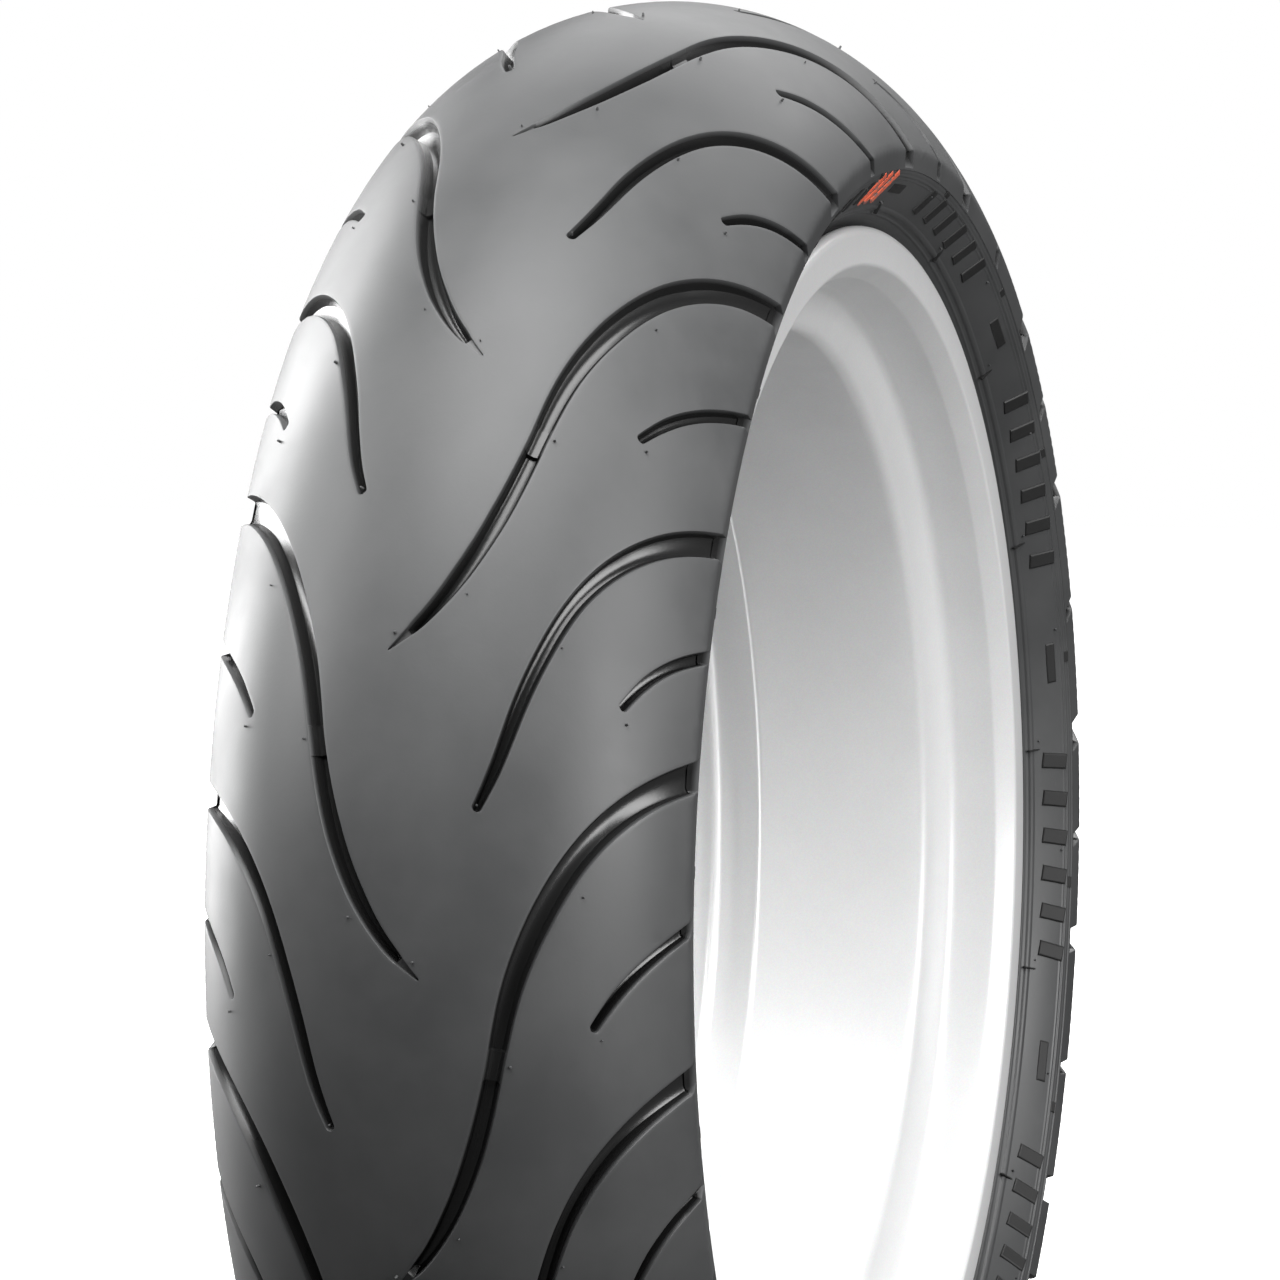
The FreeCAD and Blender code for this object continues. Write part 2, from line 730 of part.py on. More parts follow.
def valve_body_pieces(model):
    """Stem, grommet, washer and nut."""
    valve_turning(model, "valve_stem", [
        ("Sizes.air_bore / 2", "head_foot"),
        ("Sizes.head_diameter / 2", "head_foot"),
        ("Sizes.head_diameter / 2", "-Sizes.grommet_height"),
        ("stem_radius", "-Sizes.grommet_height"),
        ("stem_radius", "Sizes.stem_length"),
        ("Sizes.core_bore / 2", "Sizes.stem_length"),
        ("Sizes.core_bore / 2", "core_floor"),
        ("Sizes.air_bore / 2", "core_floor"),
    ])
    valve_turning(model, "valve_grommet", [
        ("stem_radius", "-Sizes.grommet_height"),
        ("Sizes.head_diameter / 2", "-Sizes.grommet_height"),
        ("Sizes.head_diameter / 2", "0"),
        ("Sizes.valve_hole / 2", "0"),
        ("Sizes.valve_hole / 2", "Sizes.ledge_wall"),
        ("stem_radius", "Sizes.ledge_wall"),
    ])
    valve_turning(model, "valve_washer", tube_section(
        "stem_radius", "Sizes.washer_diameter / 2", "washer_foot", "nut_foot"))


def valve_nut(model):
    """The hexagon nut that clamps the stem to the rim."""
    prism = model.doc.addObject("Part::Prism", "nut_blank")
    prism.Polygon = 6
    prism.setExpression("Circumradius", "Sizes.nut_across_flats / sqrt(3)")
    prism.setExpression("Height", "Sizes.nut_height")
    bore = model.doc.addObject("Part::Cylinder", "nut_bore")
    bore.setExpression("Radius", "Places.stem_radius")
    bore.setExpression("Height", "Sizes.nut_height")
    nut = model.doc.addObject("Part::Cut", "valve_nut")
    nut.Base = prism
    nut.Tool = bore
    nut.setExpression("Placement.Base.y", "-Sizes.valve_offset")
    nut.setExpression("Placement.Base.z", "Places.nut_foot - Sizes.ledge_radius")
    model.keep(nut, "valve_nut")


def valve_core_pieces(model):
    """Plug, seal, barrel and pin of the valve core."""
    valve_turning(model, "core_plug", tube_section(
        "guide_radius", "Sizes.core_bore / 2", "plug_foot", "plug_top"))
    valve_turning(model, "core_seal", tube_section(
        "guide_radius", "Sizes.core_bore / 2", "seal_foot", "plug_foot"))
    valve_turning(model, "core_barrel", [
        ("guide_radius", "barrel_foot"),
        ("barrel_radius", "barrel_foot"),
        ("barrel_radius", "seal_foot"),
        ("chamber_radius", "seal_foot"),
        ("chamber_radius", "barrel_foot + Sizes.barrel_wall"),
        ("guide_radius", "barrel_foot + Sizes.barrel_wall"),
    ])
    valve_turning(model, "core_pin", [
        ("0", "cup_foot"),
        ("Sizes.cup_diameter / 2", "cup_foot"),
        ("Sizes.cup_diameter / 2", "cup_top"),
        ("Sizes.pin_diameter / 2", "cup_top"),
        ("Sizes.pin_diameter / 2", "collar_foot"),
        ("Sizes.collar_diameter / 2", "collar_foot"),
        ("Sizes.collar_diameter / 2", "collar_top"),
        ("Sizes.pin_diameter / 2", "collar_top"),
        ("Sizes.pin_diameter / 2", "pin_top"),
        ("0", "pin_top"),
    ])


def cap(model):
    """The fluted cap and the seal inside its roof."""
    valve_turning(model, "cap_seal", [
        ("0", "cap_seal_foot"),
        ("cap_bore - Sizes.cap_gap", "cap_seal_foot"),
        ("cap_bore - Sizes.cap_gap", "cap_seal_foot + Sizes.cap_seal_height"),
        ("0", "cap_seal_foot + Sizes.cap_seal_height"),
    ])
    top = "cap_seal_foot + Sizes.cap_seal_height + Sizes.cap_roof"
    body = valve_turning(model, "valve_cap", [
        ("cap_bore", "cap_foot"),
        ("Sizes.cap_diameter / 2", "cap_foot"),
        ("Sizes.cap_diameter / 2", top),
        ("0", top),
        ("0", "cap_seal_foot + Sizes.cap_seal_height"),
        ("cap_bore", "cap_seal_foot + Sizes.cap_seal_height"),
    ])
    sketch = add_sketch(model, body, "flute", "XY_Plane", "cap_foot")
    outside = model.value("Sizes.cap_diameter / 2")
    round_line = Part.Circle(Vector(outside, 0, 0), Vector(0, 0, 1),
                             model.value("Sizes.flute_radius"))
    circle = sketch.addGeometry(round_line, False)
    sketch.addConstraint(constraint("PointOnObject", circle, 3, -1))
    number = sketch.addConstraint(constraint("DistanceX", -1, 1, circle, 3, outside))
    bind(model, sketch, number, "Sizes.cap_diameter / 2")
    bind_radius(model, sketch, circle, "Sizes.flute_radius")
    flute = body.newObject("PartDesign::Pocket", "flute_cut")
    flute.Profile = sketch
    flute.Type = "Length"
    flute.Reversed = True
    flute.setExpression("Length", "Sizes.cap_height - Sizes.cap_roof")
    flutes = body.newObject("PartDesign::PolarPattern", "flutes")
    flutes.Originals = [flute]
    flutes.Axis = (sketch, ["N_Axis"])
    flutes.Angle = 360
    flutes.setExpression("Occurrences", "Sizes.flute_count")
    body.Tip = flutes


def spring(model):
    """The coil spring that closes the valve core."""
    wire = model.value("Sizes.spring_wire")
    clear = wire / 2 + model.value("Sizes.pin_guide_gap")
    coil_radius = (model.value("guide_radius") + model.value("chamber_radius")) / 2
    foot = model.value("barrel_foot + Sizes.barrel_wall") + clear
    top = model.value("collar_foot") - clear
    turns = model.value("Sizes.spring_turns")
    helix = Part.makeHelix((top - foot) / turns, top - foot, coil_radius)
    circle = Part.Circle(Vector(coil_radius, 0, 0), Vector(0, 1, 0), wire / 2).toShape()
    coil = Part.Wire(helix.Edges).makePipeShell([Part.Wire([circle])], True, True)
    coil.translate(Vector(0, 0, foot))
    feature = model.doc.addObject("Part::Feature", "core_spring")
    feature.Shape = coil
    place_on_valve(feature)
    model.keep(feature, "core_spring")


# ---------------------------------------------------------------- build and write

def check_and_write(model):
    """Stop if anything failed, then write one STEP file for each sub-part."""
    model.doc.recompute()
    for thing in model.doc.Objects:
        if {"Invalid", "Error"} & set(thing.State):
            raise RuntimeError(f"{thing.Name} failed: {thing.State}")
    os.makedirs("parts", exist_ok=True)
    for thing in model.nodes:
        shape = thing.Shape
        if shape.isNull() or not shape.isValid() or shape.Volume <= 0:
            raise RuntimeError(f"{thing.Label} has no sound shape")
        shape.exportStep(os.path.join("parts", f"{thing.Label}.step"))
        print(f"{thing.Label}: {len(shape.Solids)} solid, {shape.Volume:.1f} mm3")


def main():
    model = Model()
    tread(model)
    sidewalls(model)
    belt(model, "outer_belt", "outer_belt_arc", "inner_belt_arc", "outer_belt_y")
    belt(model, "inner_belt", "inner_belt_arc", "ply_arc", "inner_belt_y")
    carcass(model)
    inner_liner(model)
    bead_pieces(model)
    rim(model)
    valve_body_pieces(model)
    valve_nut(model)
    valve_core_pieces(model)
    spring(model)
    cap(model)
    check_and_write(model)


main()
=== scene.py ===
"""Looks of a radial motorcycle tyre on its wheel rim, with the rim's tyre valve.

Sizes are in millimetres and degrees, and become metres when a point is placed. A section
point is (y, r): the place along the axle and the radius from it. On the valve it is
(r, height): the radius from the valve's axis and the height over the rim's ledge.
"""

import bmesh
import bpy
import math
import numpy as np
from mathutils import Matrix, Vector
from mathutils.geometry import delaunay_2d_cdt


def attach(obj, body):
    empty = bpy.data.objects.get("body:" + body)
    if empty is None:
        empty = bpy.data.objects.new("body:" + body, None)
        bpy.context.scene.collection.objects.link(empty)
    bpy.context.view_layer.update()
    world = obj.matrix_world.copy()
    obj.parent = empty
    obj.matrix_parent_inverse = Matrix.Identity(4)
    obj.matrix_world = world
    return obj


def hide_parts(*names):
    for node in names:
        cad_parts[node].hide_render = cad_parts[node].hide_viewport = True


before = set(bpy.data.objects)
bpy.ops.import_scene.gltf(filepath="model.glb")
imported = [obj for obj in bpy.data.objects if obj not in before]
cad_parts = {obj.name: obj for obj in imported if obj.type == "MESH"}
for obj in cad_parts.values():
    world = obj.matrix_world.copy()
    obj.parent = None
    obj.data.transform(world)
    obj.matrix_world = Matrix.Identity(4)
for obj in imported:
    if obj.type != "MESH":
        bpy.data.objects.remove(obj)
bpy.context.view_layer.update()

# ---------------------------------------------------------------- sizes

MM = 0.001

CROWN_RADIUS = 311.9
PROFILE_RADIUS = 95.2
CROWN_CENTRE = CROWN_RADIUS - PROFILE_RADIUS
EDGE_Y = 85.1
EDGE_ARC = PROFILE_RADIUS * math.asin(EDGE_Y / PROFILE_RADIUS)
EDGE_R = CROWN_CENTRE + math.sqrt(PROFILE_RADIUS ** 2 - EDGE_Y ** 2)
WING = (EDGE_Y - 1.0, EDGE_R - 7.0)
FOOT = (66.0, 235.0)
TREAD_DEPTH = 8.2
EDGE_ROUNDING = 2.2

PITCH_COUNT = 9
PITCH_ANGLE = 360 / PITCH_COUNT
PATTERN_START = 18.8
GROOVE_DEPTH = 6.0
GROOVE_EDGE_DEPTH = 3.6
GROOVE_FADE_START = 72.0
WALL_DRAFT = 0.17
WEAR_BAR_ARC = 32.4
WEAR_BAR_LENGTH = 10.6
WEAR_BAR_HEIGHT = 1.7

BEAD_Y = 63.5
FLANGE_Y = 70.5
FLANGE_R = 232.3
SEAT_RADIUS = 218.3
WELL_RADIUS = 195.0
LEDGE_RADIUS = 211.0

VALVE_Y = -34.9
VALVE_Z = -LEDGE_RADIUS

# Groove centre lines: (arc length from the crown line, angle from the long groove's tip,
# groove width), from the tip out past the tread's edge.
LONG_GROOVE = (
    (-8.0, 0.0, 0.8), (1.0, 1.6, 4.2), (14.0, 5.0, 6.4), (24.0, 9.1, 7.0),
    (32.4, 14.6, 6.4), (38.0, 19.0, 7.6), (48.0, 23.7, 9.0), (66.0, 28.9, 9.6),
    (89.0, 32.4, 10.0), (113.0, 34.5, 11.0),
)
SHORT_GROOVE = (
    (25.4, -9.7, 3.4), (30.6, -7.4, 4.6), (37.6, -3.1, 5.6), (44.4, 0.5, 6.0),
    (53.4, 4.1, 6.4), (66.4, 7.3, 7.6), (89.0, 10.4, 8.8), (113.0, 12.2, 9.4),
)
INNER_SIPE = ((65.6, 16.4, 3.6), (75.0, 18.6, 4.6), (90.0, 21.0, 4.8), (113.0, 23.6, 5.0))
OUTER_SIPE = ((72.6, -2.4, 3.4), (81.0, -0.3, 4.4), (93.0, 1.6, 4.6), (113.0, 3.5, 4.8))

# The line between two pitches of the pattern, clear of every groove: (arc length, angle).
PITCH_LINE = (
    (-120.0, 19.0), (-89.0, 16.8), (-66.0, 13.2), (-48.0, 12.0), (-38.0, 8.0),
    (-25.4, 1.5), (-14.0, 3.0), (0.0, 11.0), (14.0, 16.0), (25.4, 21.5), (38.0, 28.0),
    (48.0, 32.0), (66.0, 33.2), (89.0, 36.8), (120.0, 39.0),
)

# Vent stubs on the tread: (arc length, angle).
TREAD_VENTS = (
    (37.6, 14.6), (16.9, 3.7), (-6.0, 1.1), (62.6, 25.2), (50.0, 1.0), (26.0, -9.3),
    (68.9, 15.8), (75.0, -3.3),
)


# ---------------------------------------------------------------- outlines

def on_wheel(y, r, angle):
    """The place in metres of a section point turned about the axle."""
    turn = math.radians(angle)
    return Vector((r * math.cos(turn), y, r * math.sin(turn))) * MM


def on_valve(r, height, angle):
    """The place in metres of a valve section point turned about the valve's axis."""
    turn = math.radians(angle)
    return Vector((r * math.cos(turn), VALVE_Y + r * math.sin(turn), VALVE_Z + height)) * MM


def rounded(corners, closed=True, steps=5):
    """The outline through corners (a, b, rounding radius), with each corner rounded."""
    outline = []
    count = len(corners)
    for index, (a, b, radius) in enumerate(corners):
        here = Vector((a, b))
        is_end = not closed and index in (0, count - 1)
        if radius == 0 or is_end:
            outline.append((a, b))
            continue
        before = Vector(corners[index - 1][:2]) - here
        after = Vector(corners[(index + 1) % count][:2]) - here
        half = before.angle(after) / 2
        cut = min(radius / math.tan(half), before.length * 0.49, after.length * 0.49)
        reach = cut * math.tan(half)
        start = here + before.normalized() * cut
        end = here + after.normalized() * cut
        middle = (before.normalized() + after.normalized()).normalized()
        centre = here + middle * (reach / math.sin(half))
        for step in range(steps + 1):
            blend = start.lerp(end, step / steps) - centre
            outline.append(tuple(centre + blend.normalized() * reach))
    return outline


def refined(outline, longest, closed=True):
    """The same outline with its long edges divided."""
    finer = []
    count = len(outline)
    for index, (a, b) in enumerate(outline):
        finer.append((a, b))
        if not closed and index == count - 1:
            break
        c, d = outline[(index + 1) % count]
        parts = max(1, math.ceil(math.hypot(c - a, d - b) / longest))
        for step in range(1, parts):
            finer.append((a + (c - a) * step / parts, b + (d - b) * step / parts))
    return finer


class SurfaceLine:
    """An open section line read by the length along it, with its outward normal."""

    def __init__(self, points, zero_at):
        spots = np.array(points)
        steps = np.hypot(*np.diff(spots, axis=0).T)
        run = np.concatenate([[0.0], np.cumsum(steps)])
        self.length = run - zero_at(run)
        self.spots = spots
        along = np.gradient(spots, run, axis=0)
        along /= np.linalg.norm(along, axis=1)[:, None]
        self.normals = np.stack([-along[:, 1], along[:, 0]], axis=1)

    def read(self, length, depth=0.0):
        """The section point at a length along the line, sunk by a depth."""
        y, r = (np.interp(length, self.length, self.spots[:, k]) for k in (0, 1))
        ny, nr = (np.interp(length, self.length, self.normals[:, k]) for k in (0, 1))
        return y - ny * depth, r - nr * depth

    def normal(self, length):
        """The outward normal (y, r) at a length along the line."""
        return tuple(np.interp(length, self.length, self.normals[:, k]) for k in (0, 1))


# Arc points left out at each edge, where the rounding goes.
EDGE_POINTS_OUT = 4


def crown_line():
    """The tread's outer section from wing to wing, read from the crown line."""
    lean = math.asin(EDGE_Y / PROFILE_RADIUS)
    arc = []
    for step in range(-200, 201):
        turn = lean * step / 200
        arc.append((PROFILE_RADIUS * math.sin(turn),
                    CROWN_CENTRE + PROFILE_RADIUS * math.cos(turn), 0.0))
    arc = arc[EDGE_POINTS_OUT:-EDGE_POINTS_OUT]
    left = [(-WING[0], WING[1], 0.0), (-EDGE_Y, EDGE_R, EDGE_ROUNDING)]
    right = [(EDGE_Y, EDGE_R, EDGE_ROUNDING), (WING[0], WING[1], 0.0)]
    points = refined(rounded(left + arc + right, closed=False, steps=10), 0.6, closed=False)
    return SurfaceLine([(-y, r) for y, r in reversed(points)], lambda run: run[-1] / 2)


CROWN = crown_line()
CROWN_END = float(CROWN.length[-1])
GROOVE_RUN_OUT = EDGE_ARC - 1.2
GROOVE_END = CROWN_END - 0.7


# ---------------------------------------------------------------- meshes

def new_object(name, mesh):
    """An object at the origin that shows a mesh."""
    thing = bpy.data.objects.new(name, mesh)
    bpy.context.scene.collection.objects.link(thing)
    return thing


def finished_mesh(shape, name, sharp_angle=40.0, weld=0.002):
    """Close a bmesh, point its faces outwards, shade it smooth and make it a mesh."""
    bmesh.ops.remove_doubles(shape, verts=shape.verts, dist=weld * MM)
    bmesh.ops.recalc_face_normals(shape, faces=shape.faces)
    limit = math.radians(sharp_angle)
    for face in shape.faces:
        face.smooth = True
    for edge in shape.edges:
        if len(edge.link_faces) == 2:
            edge.smooth = edge.calc_face_angle(0.0) < limit
    mesh = bpy.data.meshes.new(name)
    shape.to_mesh(mesh)
    shape.free()
    return mesh


def turned_shape(outline, segments, place, along_axis_first, relief=None):
    """A closed bmesh made by turning a closed outline once round its axis.

    relief(a, b, angle), where given, moves a point of the outline at an angle.
    """
    shape = bmesh.new()
    rings = []
    for step in range(segments):
        angle = 360 * step / segments
        ring = []
        for a, b in outline:
            if relief:
                a, b = relief(a, b, angle)
            ring.append(shape.verts.new(place(a, b, angle)))
        rings.append(ring)
    radius_at = 1 if along_axis_first else 0
    on_axis = [point[radius_at] < 1e-6 for point in outline]
    count = len(outline)
    for step in range(segments):
        here, there = rings[step], rings[(step + 1) % segments]
        for index in range(count):
            after = (index + 1) % count
            if on_axis[index] and on_axis[after]:
                continue
            corners = [here[index], here[after], there[after], there[index]]
            if on_axis[index]:
                corners = corners[:3]
            if on_axis[after]:
                corners = [corners[0], corners[1], corners[3]]
            shape.faces.new(corners)
    return shape


def wheel_turned(name, outline, segments, relief=None, sharp_angle=40.0):
    """A piece turned about the axle."""
    shape = turned_shape(outline, segments, on_wheel, True, relief)
    return new_object(name, finished_mesh(shape, name, sharp_angle))


def valve_turned(name, outline, segments, relief=None, sharp_angle=40.0):
    """A piece turned about the valve's axis."""
    shape = turned_shape(outline, segments, on_valve, False, relief)
    return new_object(name, finished_mesh(shape, name, sharp_angle, weld=0.0005))


# ---------------------------------------------------------------- tread grooves

def smooth_track(stations, spacing=0.4):
    """Rows (arc length, angle, width, way along) through a groove's stations."""
    table = np.array(stations)
    steps = np.hypot(np.diff(table[:, 0]), np.radians(np.diff(table[:, 1])) * 300)
    run = np.concatenate([[0.0], np.cumsum(steps)])
    way = np.arange(0.0, run[-1], spacing)
    columns = [natural_cubic(run, table[:, k], way) for k in (0, 1)]
    columns.append(np.interp(way, run, table[:, 2]))
    radius = np.array([CROWN.read(min(u, CROWN_END))[1] for u in columns[0]])
    moves = np.hypot(np.gradient(columns[0]), np.radians(np.gradient(columns[1])) * radius)
    true_way = np.concatenate([[0.0], np.cumsum((moves[1:] + moves[:-1]) / 2)])
    return np.stack([*columns, true_way], axis=1)


def natural_cubic(knots, values, at):
    """A natural cubic spline through values at knots."""
    count = len(knots)
    gaps = np.diff(knots)
    system = np.eye(count)
    right = np.zeros(count)
    for i in range(1, count - 1):
        system[i, i - 1:i + 2] = gaps[i - 1], 2 * (gaps[i - 1] + gaps[i]), gaps[i]
        slopes = np.diff(values[i - 1:i + 2]) / gaps[i - 1:i + 1]
        right[i] = 6 * (slopes[1] - slopes[0])
    bend = np.linalg.solve(system, right)
    place = np.clip(np.searchsorted(knots, at) - 1, 0, count - 2)
    gap = gaps[place]
    left = knots[place + 1] - at
    over = at - knots[place]
    return ((bend[place] * left ** 3 + bend[place + 1] * over ** 3) / (6 * gap)
            + (values[place] / gap - bend[place] * gap / 6) * left
            + (values[place + 1] / gap - bend[place + 1] * gap / 6) * over)


def groove_ways(length, edge_way, tail, bar_way):
    """Where along a groove its rows stand, closer together where its shape changes."""
    ways = {-1.3, -0.4, 0.0, 0.25, 0.6, 1.1, 1.8}
    way = 3.2
    while way < edge_way - 3.0:
        ways.add(way)
        way += 2.7
    way = edge_way - 3.0
    while way < length:
        ways.add(way)
        way += 0.75
    if tail:
        ways |= {tail - 0.7, tail - 0.1, tail + 0.2, tail + 0.8, tail + 1.6, tail + 2.4}
    if bar_way is not None:
        for side in (-1, 1):
            end = bar_way + side * WEAR_BAR_LENGTH / 2
            ways |= {end - 0.9, end - 0.14, end + 0.14, end + 0.9}
    chosen = []
    for way in sorted(ways):
        if (not chosen or way - chosen[-1] > 0.2) and length - way > 0.2:
            chosen.append(way)
    return chosen + [length]


def depth_at(arc):
    """A groove's depth at a place across the tread: it runs out down the wing."""
    over = abs(arc)
    fade = min(max((over - GROOVE_FADE_START) / (EDGE_ARC - GROOVE_FADE_START), 0.0), 1.0)
    depth = GROOVE_DEPTH + (GROOVE_EDGE_DEPTH - GROOVE_DEPTH) * fade
    run_out = (over - GROOVE_RUN_OUT) / (GROOVE_END - GROOVE_RUN_OUT)
    return depth * max(0.0, 1.0 - max(run_out, 0.0) ** 1.6)


def groove_columns(half, depth, floor_rise):
    """One half of a groove's section: (way across, depth), from the land to the middle."""
    sunk = min(depth / GROOVE_DEPTH, 1.0)
    lip = min(0.1, half * 0.3)
    foot = min(max(half - WALL_DRAFT * depth, half * 0.45), half - 2 * lip)
    bend = foot * 0.62 * sunk
    floor = depth - floor_rise
    return [
        (half + 1.3, 0.0),
        (half + 0.42, 0.0),
        (half + lip, 0.07 * sunk),
        (half - lip, 0.36 * sunk),
        (foot, max(floor - bend, 0.4 * sunk)),
        (foot - 0.29 * bend, max(floor - 0.29 * bend, 0.4 * sunk)),
        (foot - bend, floor - 0.03 * sunk),
        (0.0, floor),
    ]


def groove_rows(stations, tail=0.0, bar_arc=None):
    """A groove as rows of (arc length, angle, depth) points across it."""
    track = smooth_track(stations)
    edge_way = float(np.interp(EDGE_ARC, track[:, 0], track[:, 3]))
    end_way = float(np.interp(GROOVE_END, track[:, 0], track[:, 3]))
    bar_way = None
    if bar_arc is not None:
        bar_way = float(np.interp(bar_arc, track[:, 0], track[:, 3]))
    rows = []
    for way in groove_ways(end_way, edge_way, tail, bar_way):
        rows.append(groove_row(track, way, tail, bar_way))
    return rows


def groove_row(track, way, tail, bar_way):
    """The points across a groove at one place along it."""
    def read(at, column):
        return float(np.interp(at, track[:, 3], track[:, column]))

    spot = [read(max(way, 0.0), k) for k in (0, 1)]
    ahead = [read(max(way, 0.0) + 0.5, k) for k in (0, 1)]
    behind = [read(max(way, 0.5) - 0.5, k) for k in (0, 1)]
    radius = CROWN.read(spot[0])[1]
    tangent = Vector((ahead[0] - behind[0], math.radians(ahead[1] - behind[1]) * radius))
    tangent.normalize()
    if way < 0:
        spot[0] += tangent.x * way
        spot[1] += math.degrees(tangent.y * way / radius)
    half = read(max(way, 0.0), 2) / 2
    blunt = 0.5 if tail else half * 0.9
    if way < blunt:
        left = 1 - max(way, 0.0) / blunt
        half = max(half * math.sqrt(max(1 - left * left, 0.0)), 0.22)
    level = min(max(way / 0.9, 0.0), 1.0)
    if tail:
        step = min(max((way - tail) / 1.9, 0.0), 1.0)
        level = min(level, 0.2 + 0.8 * step)
    across = Vector((-tangent.y, tangent.x))
    skew = min(max((abs(spot[0]) - 84.0) / 16.0, 0.0), 1.0)
    across = across.lerp(Vector((0.0, 1.0)), skew).normalized()
    stretch = 1 / max(abs(across.dot(Vector((-tangent.y, tangent.x)))), 0.3)
    on_bar = bar_way is not None and abs(way - bar_way) < WEAR_BAR_LENGTH / 2
    depth = depth_at(spot[0]) * level
    columns = groove_columns(half, depth, WEAR_BAR_HEIGHT if on_bar else 0.0)
    both = [(-o, d) for o, d in columns] + [(o, d) for o, d in columns[-2::-1]]
    row = []
    for offset, sink in both:
        move = across * offset * stretch
        arc = spot[0] + move.x
        row.append((arc, spot[1] + math.degrees(move.y / radius), sink))
    return row


def pitch_grooves():
    """Every groove of one pitch, each moved to lie inside the pitch's two lines."""
    right = [
        groove_rows(LONG_GROOVE, tail=9.0, bar_arc=WEAR_BAR_ARC),
        groove_rows(SHORT_GROOVE),
        groove_rows(INNER_SIPE),
        groove_rows(OUTER_SIPE),
    ]
    grooves = []
    for rows in right:
        grooves.append([[(arc, angle + PITCH_ANGLE, sink) for arc, angle, sink in row]
                        for row in rows])
        grooves.append([[(-arc, angle + PITCH_ANGLE / 2, sink) for arc, angle, sink in row]
                        for row in rows])
    return grooves


def groove_border(rows):
    """The closed border (arc length, angle) of a groove's rows."""
    left = [row[0] for row in rows]
    right = [row[-1] for row in rows]
    border = left + rows[-1][1:-1] + right[::-1] + rows[0][-2:0:-1]
    return [(arc, angle) for arc, angle, _ in border]


def inside(points, border):
    """Which points lie inside a closed border."""
    x, y = points[:, 0], points[:, 1]
    found = np.zeros(len(points), dtype=bool)
    for (x1, y1), (x2, y2) in zip(border, border[1:] + border[:1]):
        if y1 == y2:
            continue
        crosses = (y1 > y) != (y2 > y)
        found ^= crosses & (x < (x2 - x1) * (y - y1) / (y2 - y1) + x1)
    return found


# ---------------------------------------------------------------- tread skin

FLAT_RADIUS = 290.0
FLAT_PER_DEGREE = math.radians(1) * FLAT_RADIUS


def pitch_line(arc):
    """The angle of the line between two pitches at an arc length."""
    table = np.array(PITCH_LINE)
    return float(np.interp(arc, table[:, 0], table[:, 1]))


def land_arcs():
    """The arc lengths of the rows of points on the land, closer at the rounded edge."""
    arcs = list(np.linspace(0, EDGE_ARC - 3.5, 22))
    arcs += [EDGE_ARC - 1.6, EDGE_ARC - 0.7, EDGE_ARC - 0.1, EDGE_ARC + 0.5,
             EDGE_ARC + 1.3, EDGE_ARC + 3.0, EDGE_ARC + 4.9, CROWN_END]
    return [-arc for arc in arcs[:0:-1]] + arcs


def land_triangles(grooves):
    """Flat points and triangles of the land between the grooves of one pitch."""
    arcs = land_arcs()
    ends = 40
    low = [(arc, pitch_line(arc)) for arc in arcs]
    high = [(arc, angle + PITCH_ANGLE) for arc, angle in low]
    bottom = [(arcs[0], low[0][1] + PITCH_ANGLE * k / ends) for k in range(1, ends)]
    top = [(arcs[-1], low[-1][1] + PITCH_ANGLE * k / ends) for k in range(1, ends)]
    frame_border = low + top + high[::-1] + bottom[::-1]
    borders = [groove_border(rows) for rows in grooves]
    points = []
    edges = []
    for border in [frame_border] + borders:
        first = len(points)
        points += border
        count = len(border)
        edges += [(first + k, first + (k + 1) % count) for k in range(count)]
    points += land_grid(arcs, borders, ends)
    flat = [Vector((arc, angle * FLAT_PER_DEGREE)) for arc, angle in points]
    spots, _, faces, *_ = delaunay_2d_cdt(flat, edges, [], 0, 1e-6)
    spots = np.array([tuple(spot) for spot in spots])
    middles = spots[np.array(faces)].mean(axis=1)
    keep = inside(middles, [(a, b * FLAT_PER_DEGREE) for a, b in frame_border])
    for border in borders:
        keep &= ~inside(middles, [(a, b * FLAT_PER_DEGREE) for a, b in border])
    corners = spots[np.array(faces)]
    first, second = corners[:, 1] - corners[:, 0], corners[:, 2] - corners[:, 0]
    keep &= np.abs(first[:, 0] * second[:, 1] - first[:, 1] * second[:, 0]) > 1e-3
    return spots, [face for face, kept in zip(faces, keep) if kept]


def land_grid(arcs, borders, ends):
    """Points inside the pitch that keep clear of the grooves' borders."""
    grid = []
    for number, arc in enumerate(arcs[1:-1]):
        shift = 0.5 if number % 2 else 0.0
        for k in range(1, ends):
            grid.append((arc, pitch_line(arc) + PITCH_ANGLE * (k + shift) / (ends + 0.5)))
    spots = np.array(grid) * (1.0, FLAT_PER_DEGREE)
    keep = np.ones(len(grid), dtype=bool)
    for border in borders:
        flat = np.array(border) * (1.0, FLAT_PER_DEGREE)
        keep &= ~inside(spots, [tuple(point) for point in flat])
        gap = np.linalg.norm(spots[:, None, :] - flat[None, :, :], axis=2).min(axis=1)
        keep &= gap > 1.1
    return [point for point, kept in zip(grid, keep) if kept]


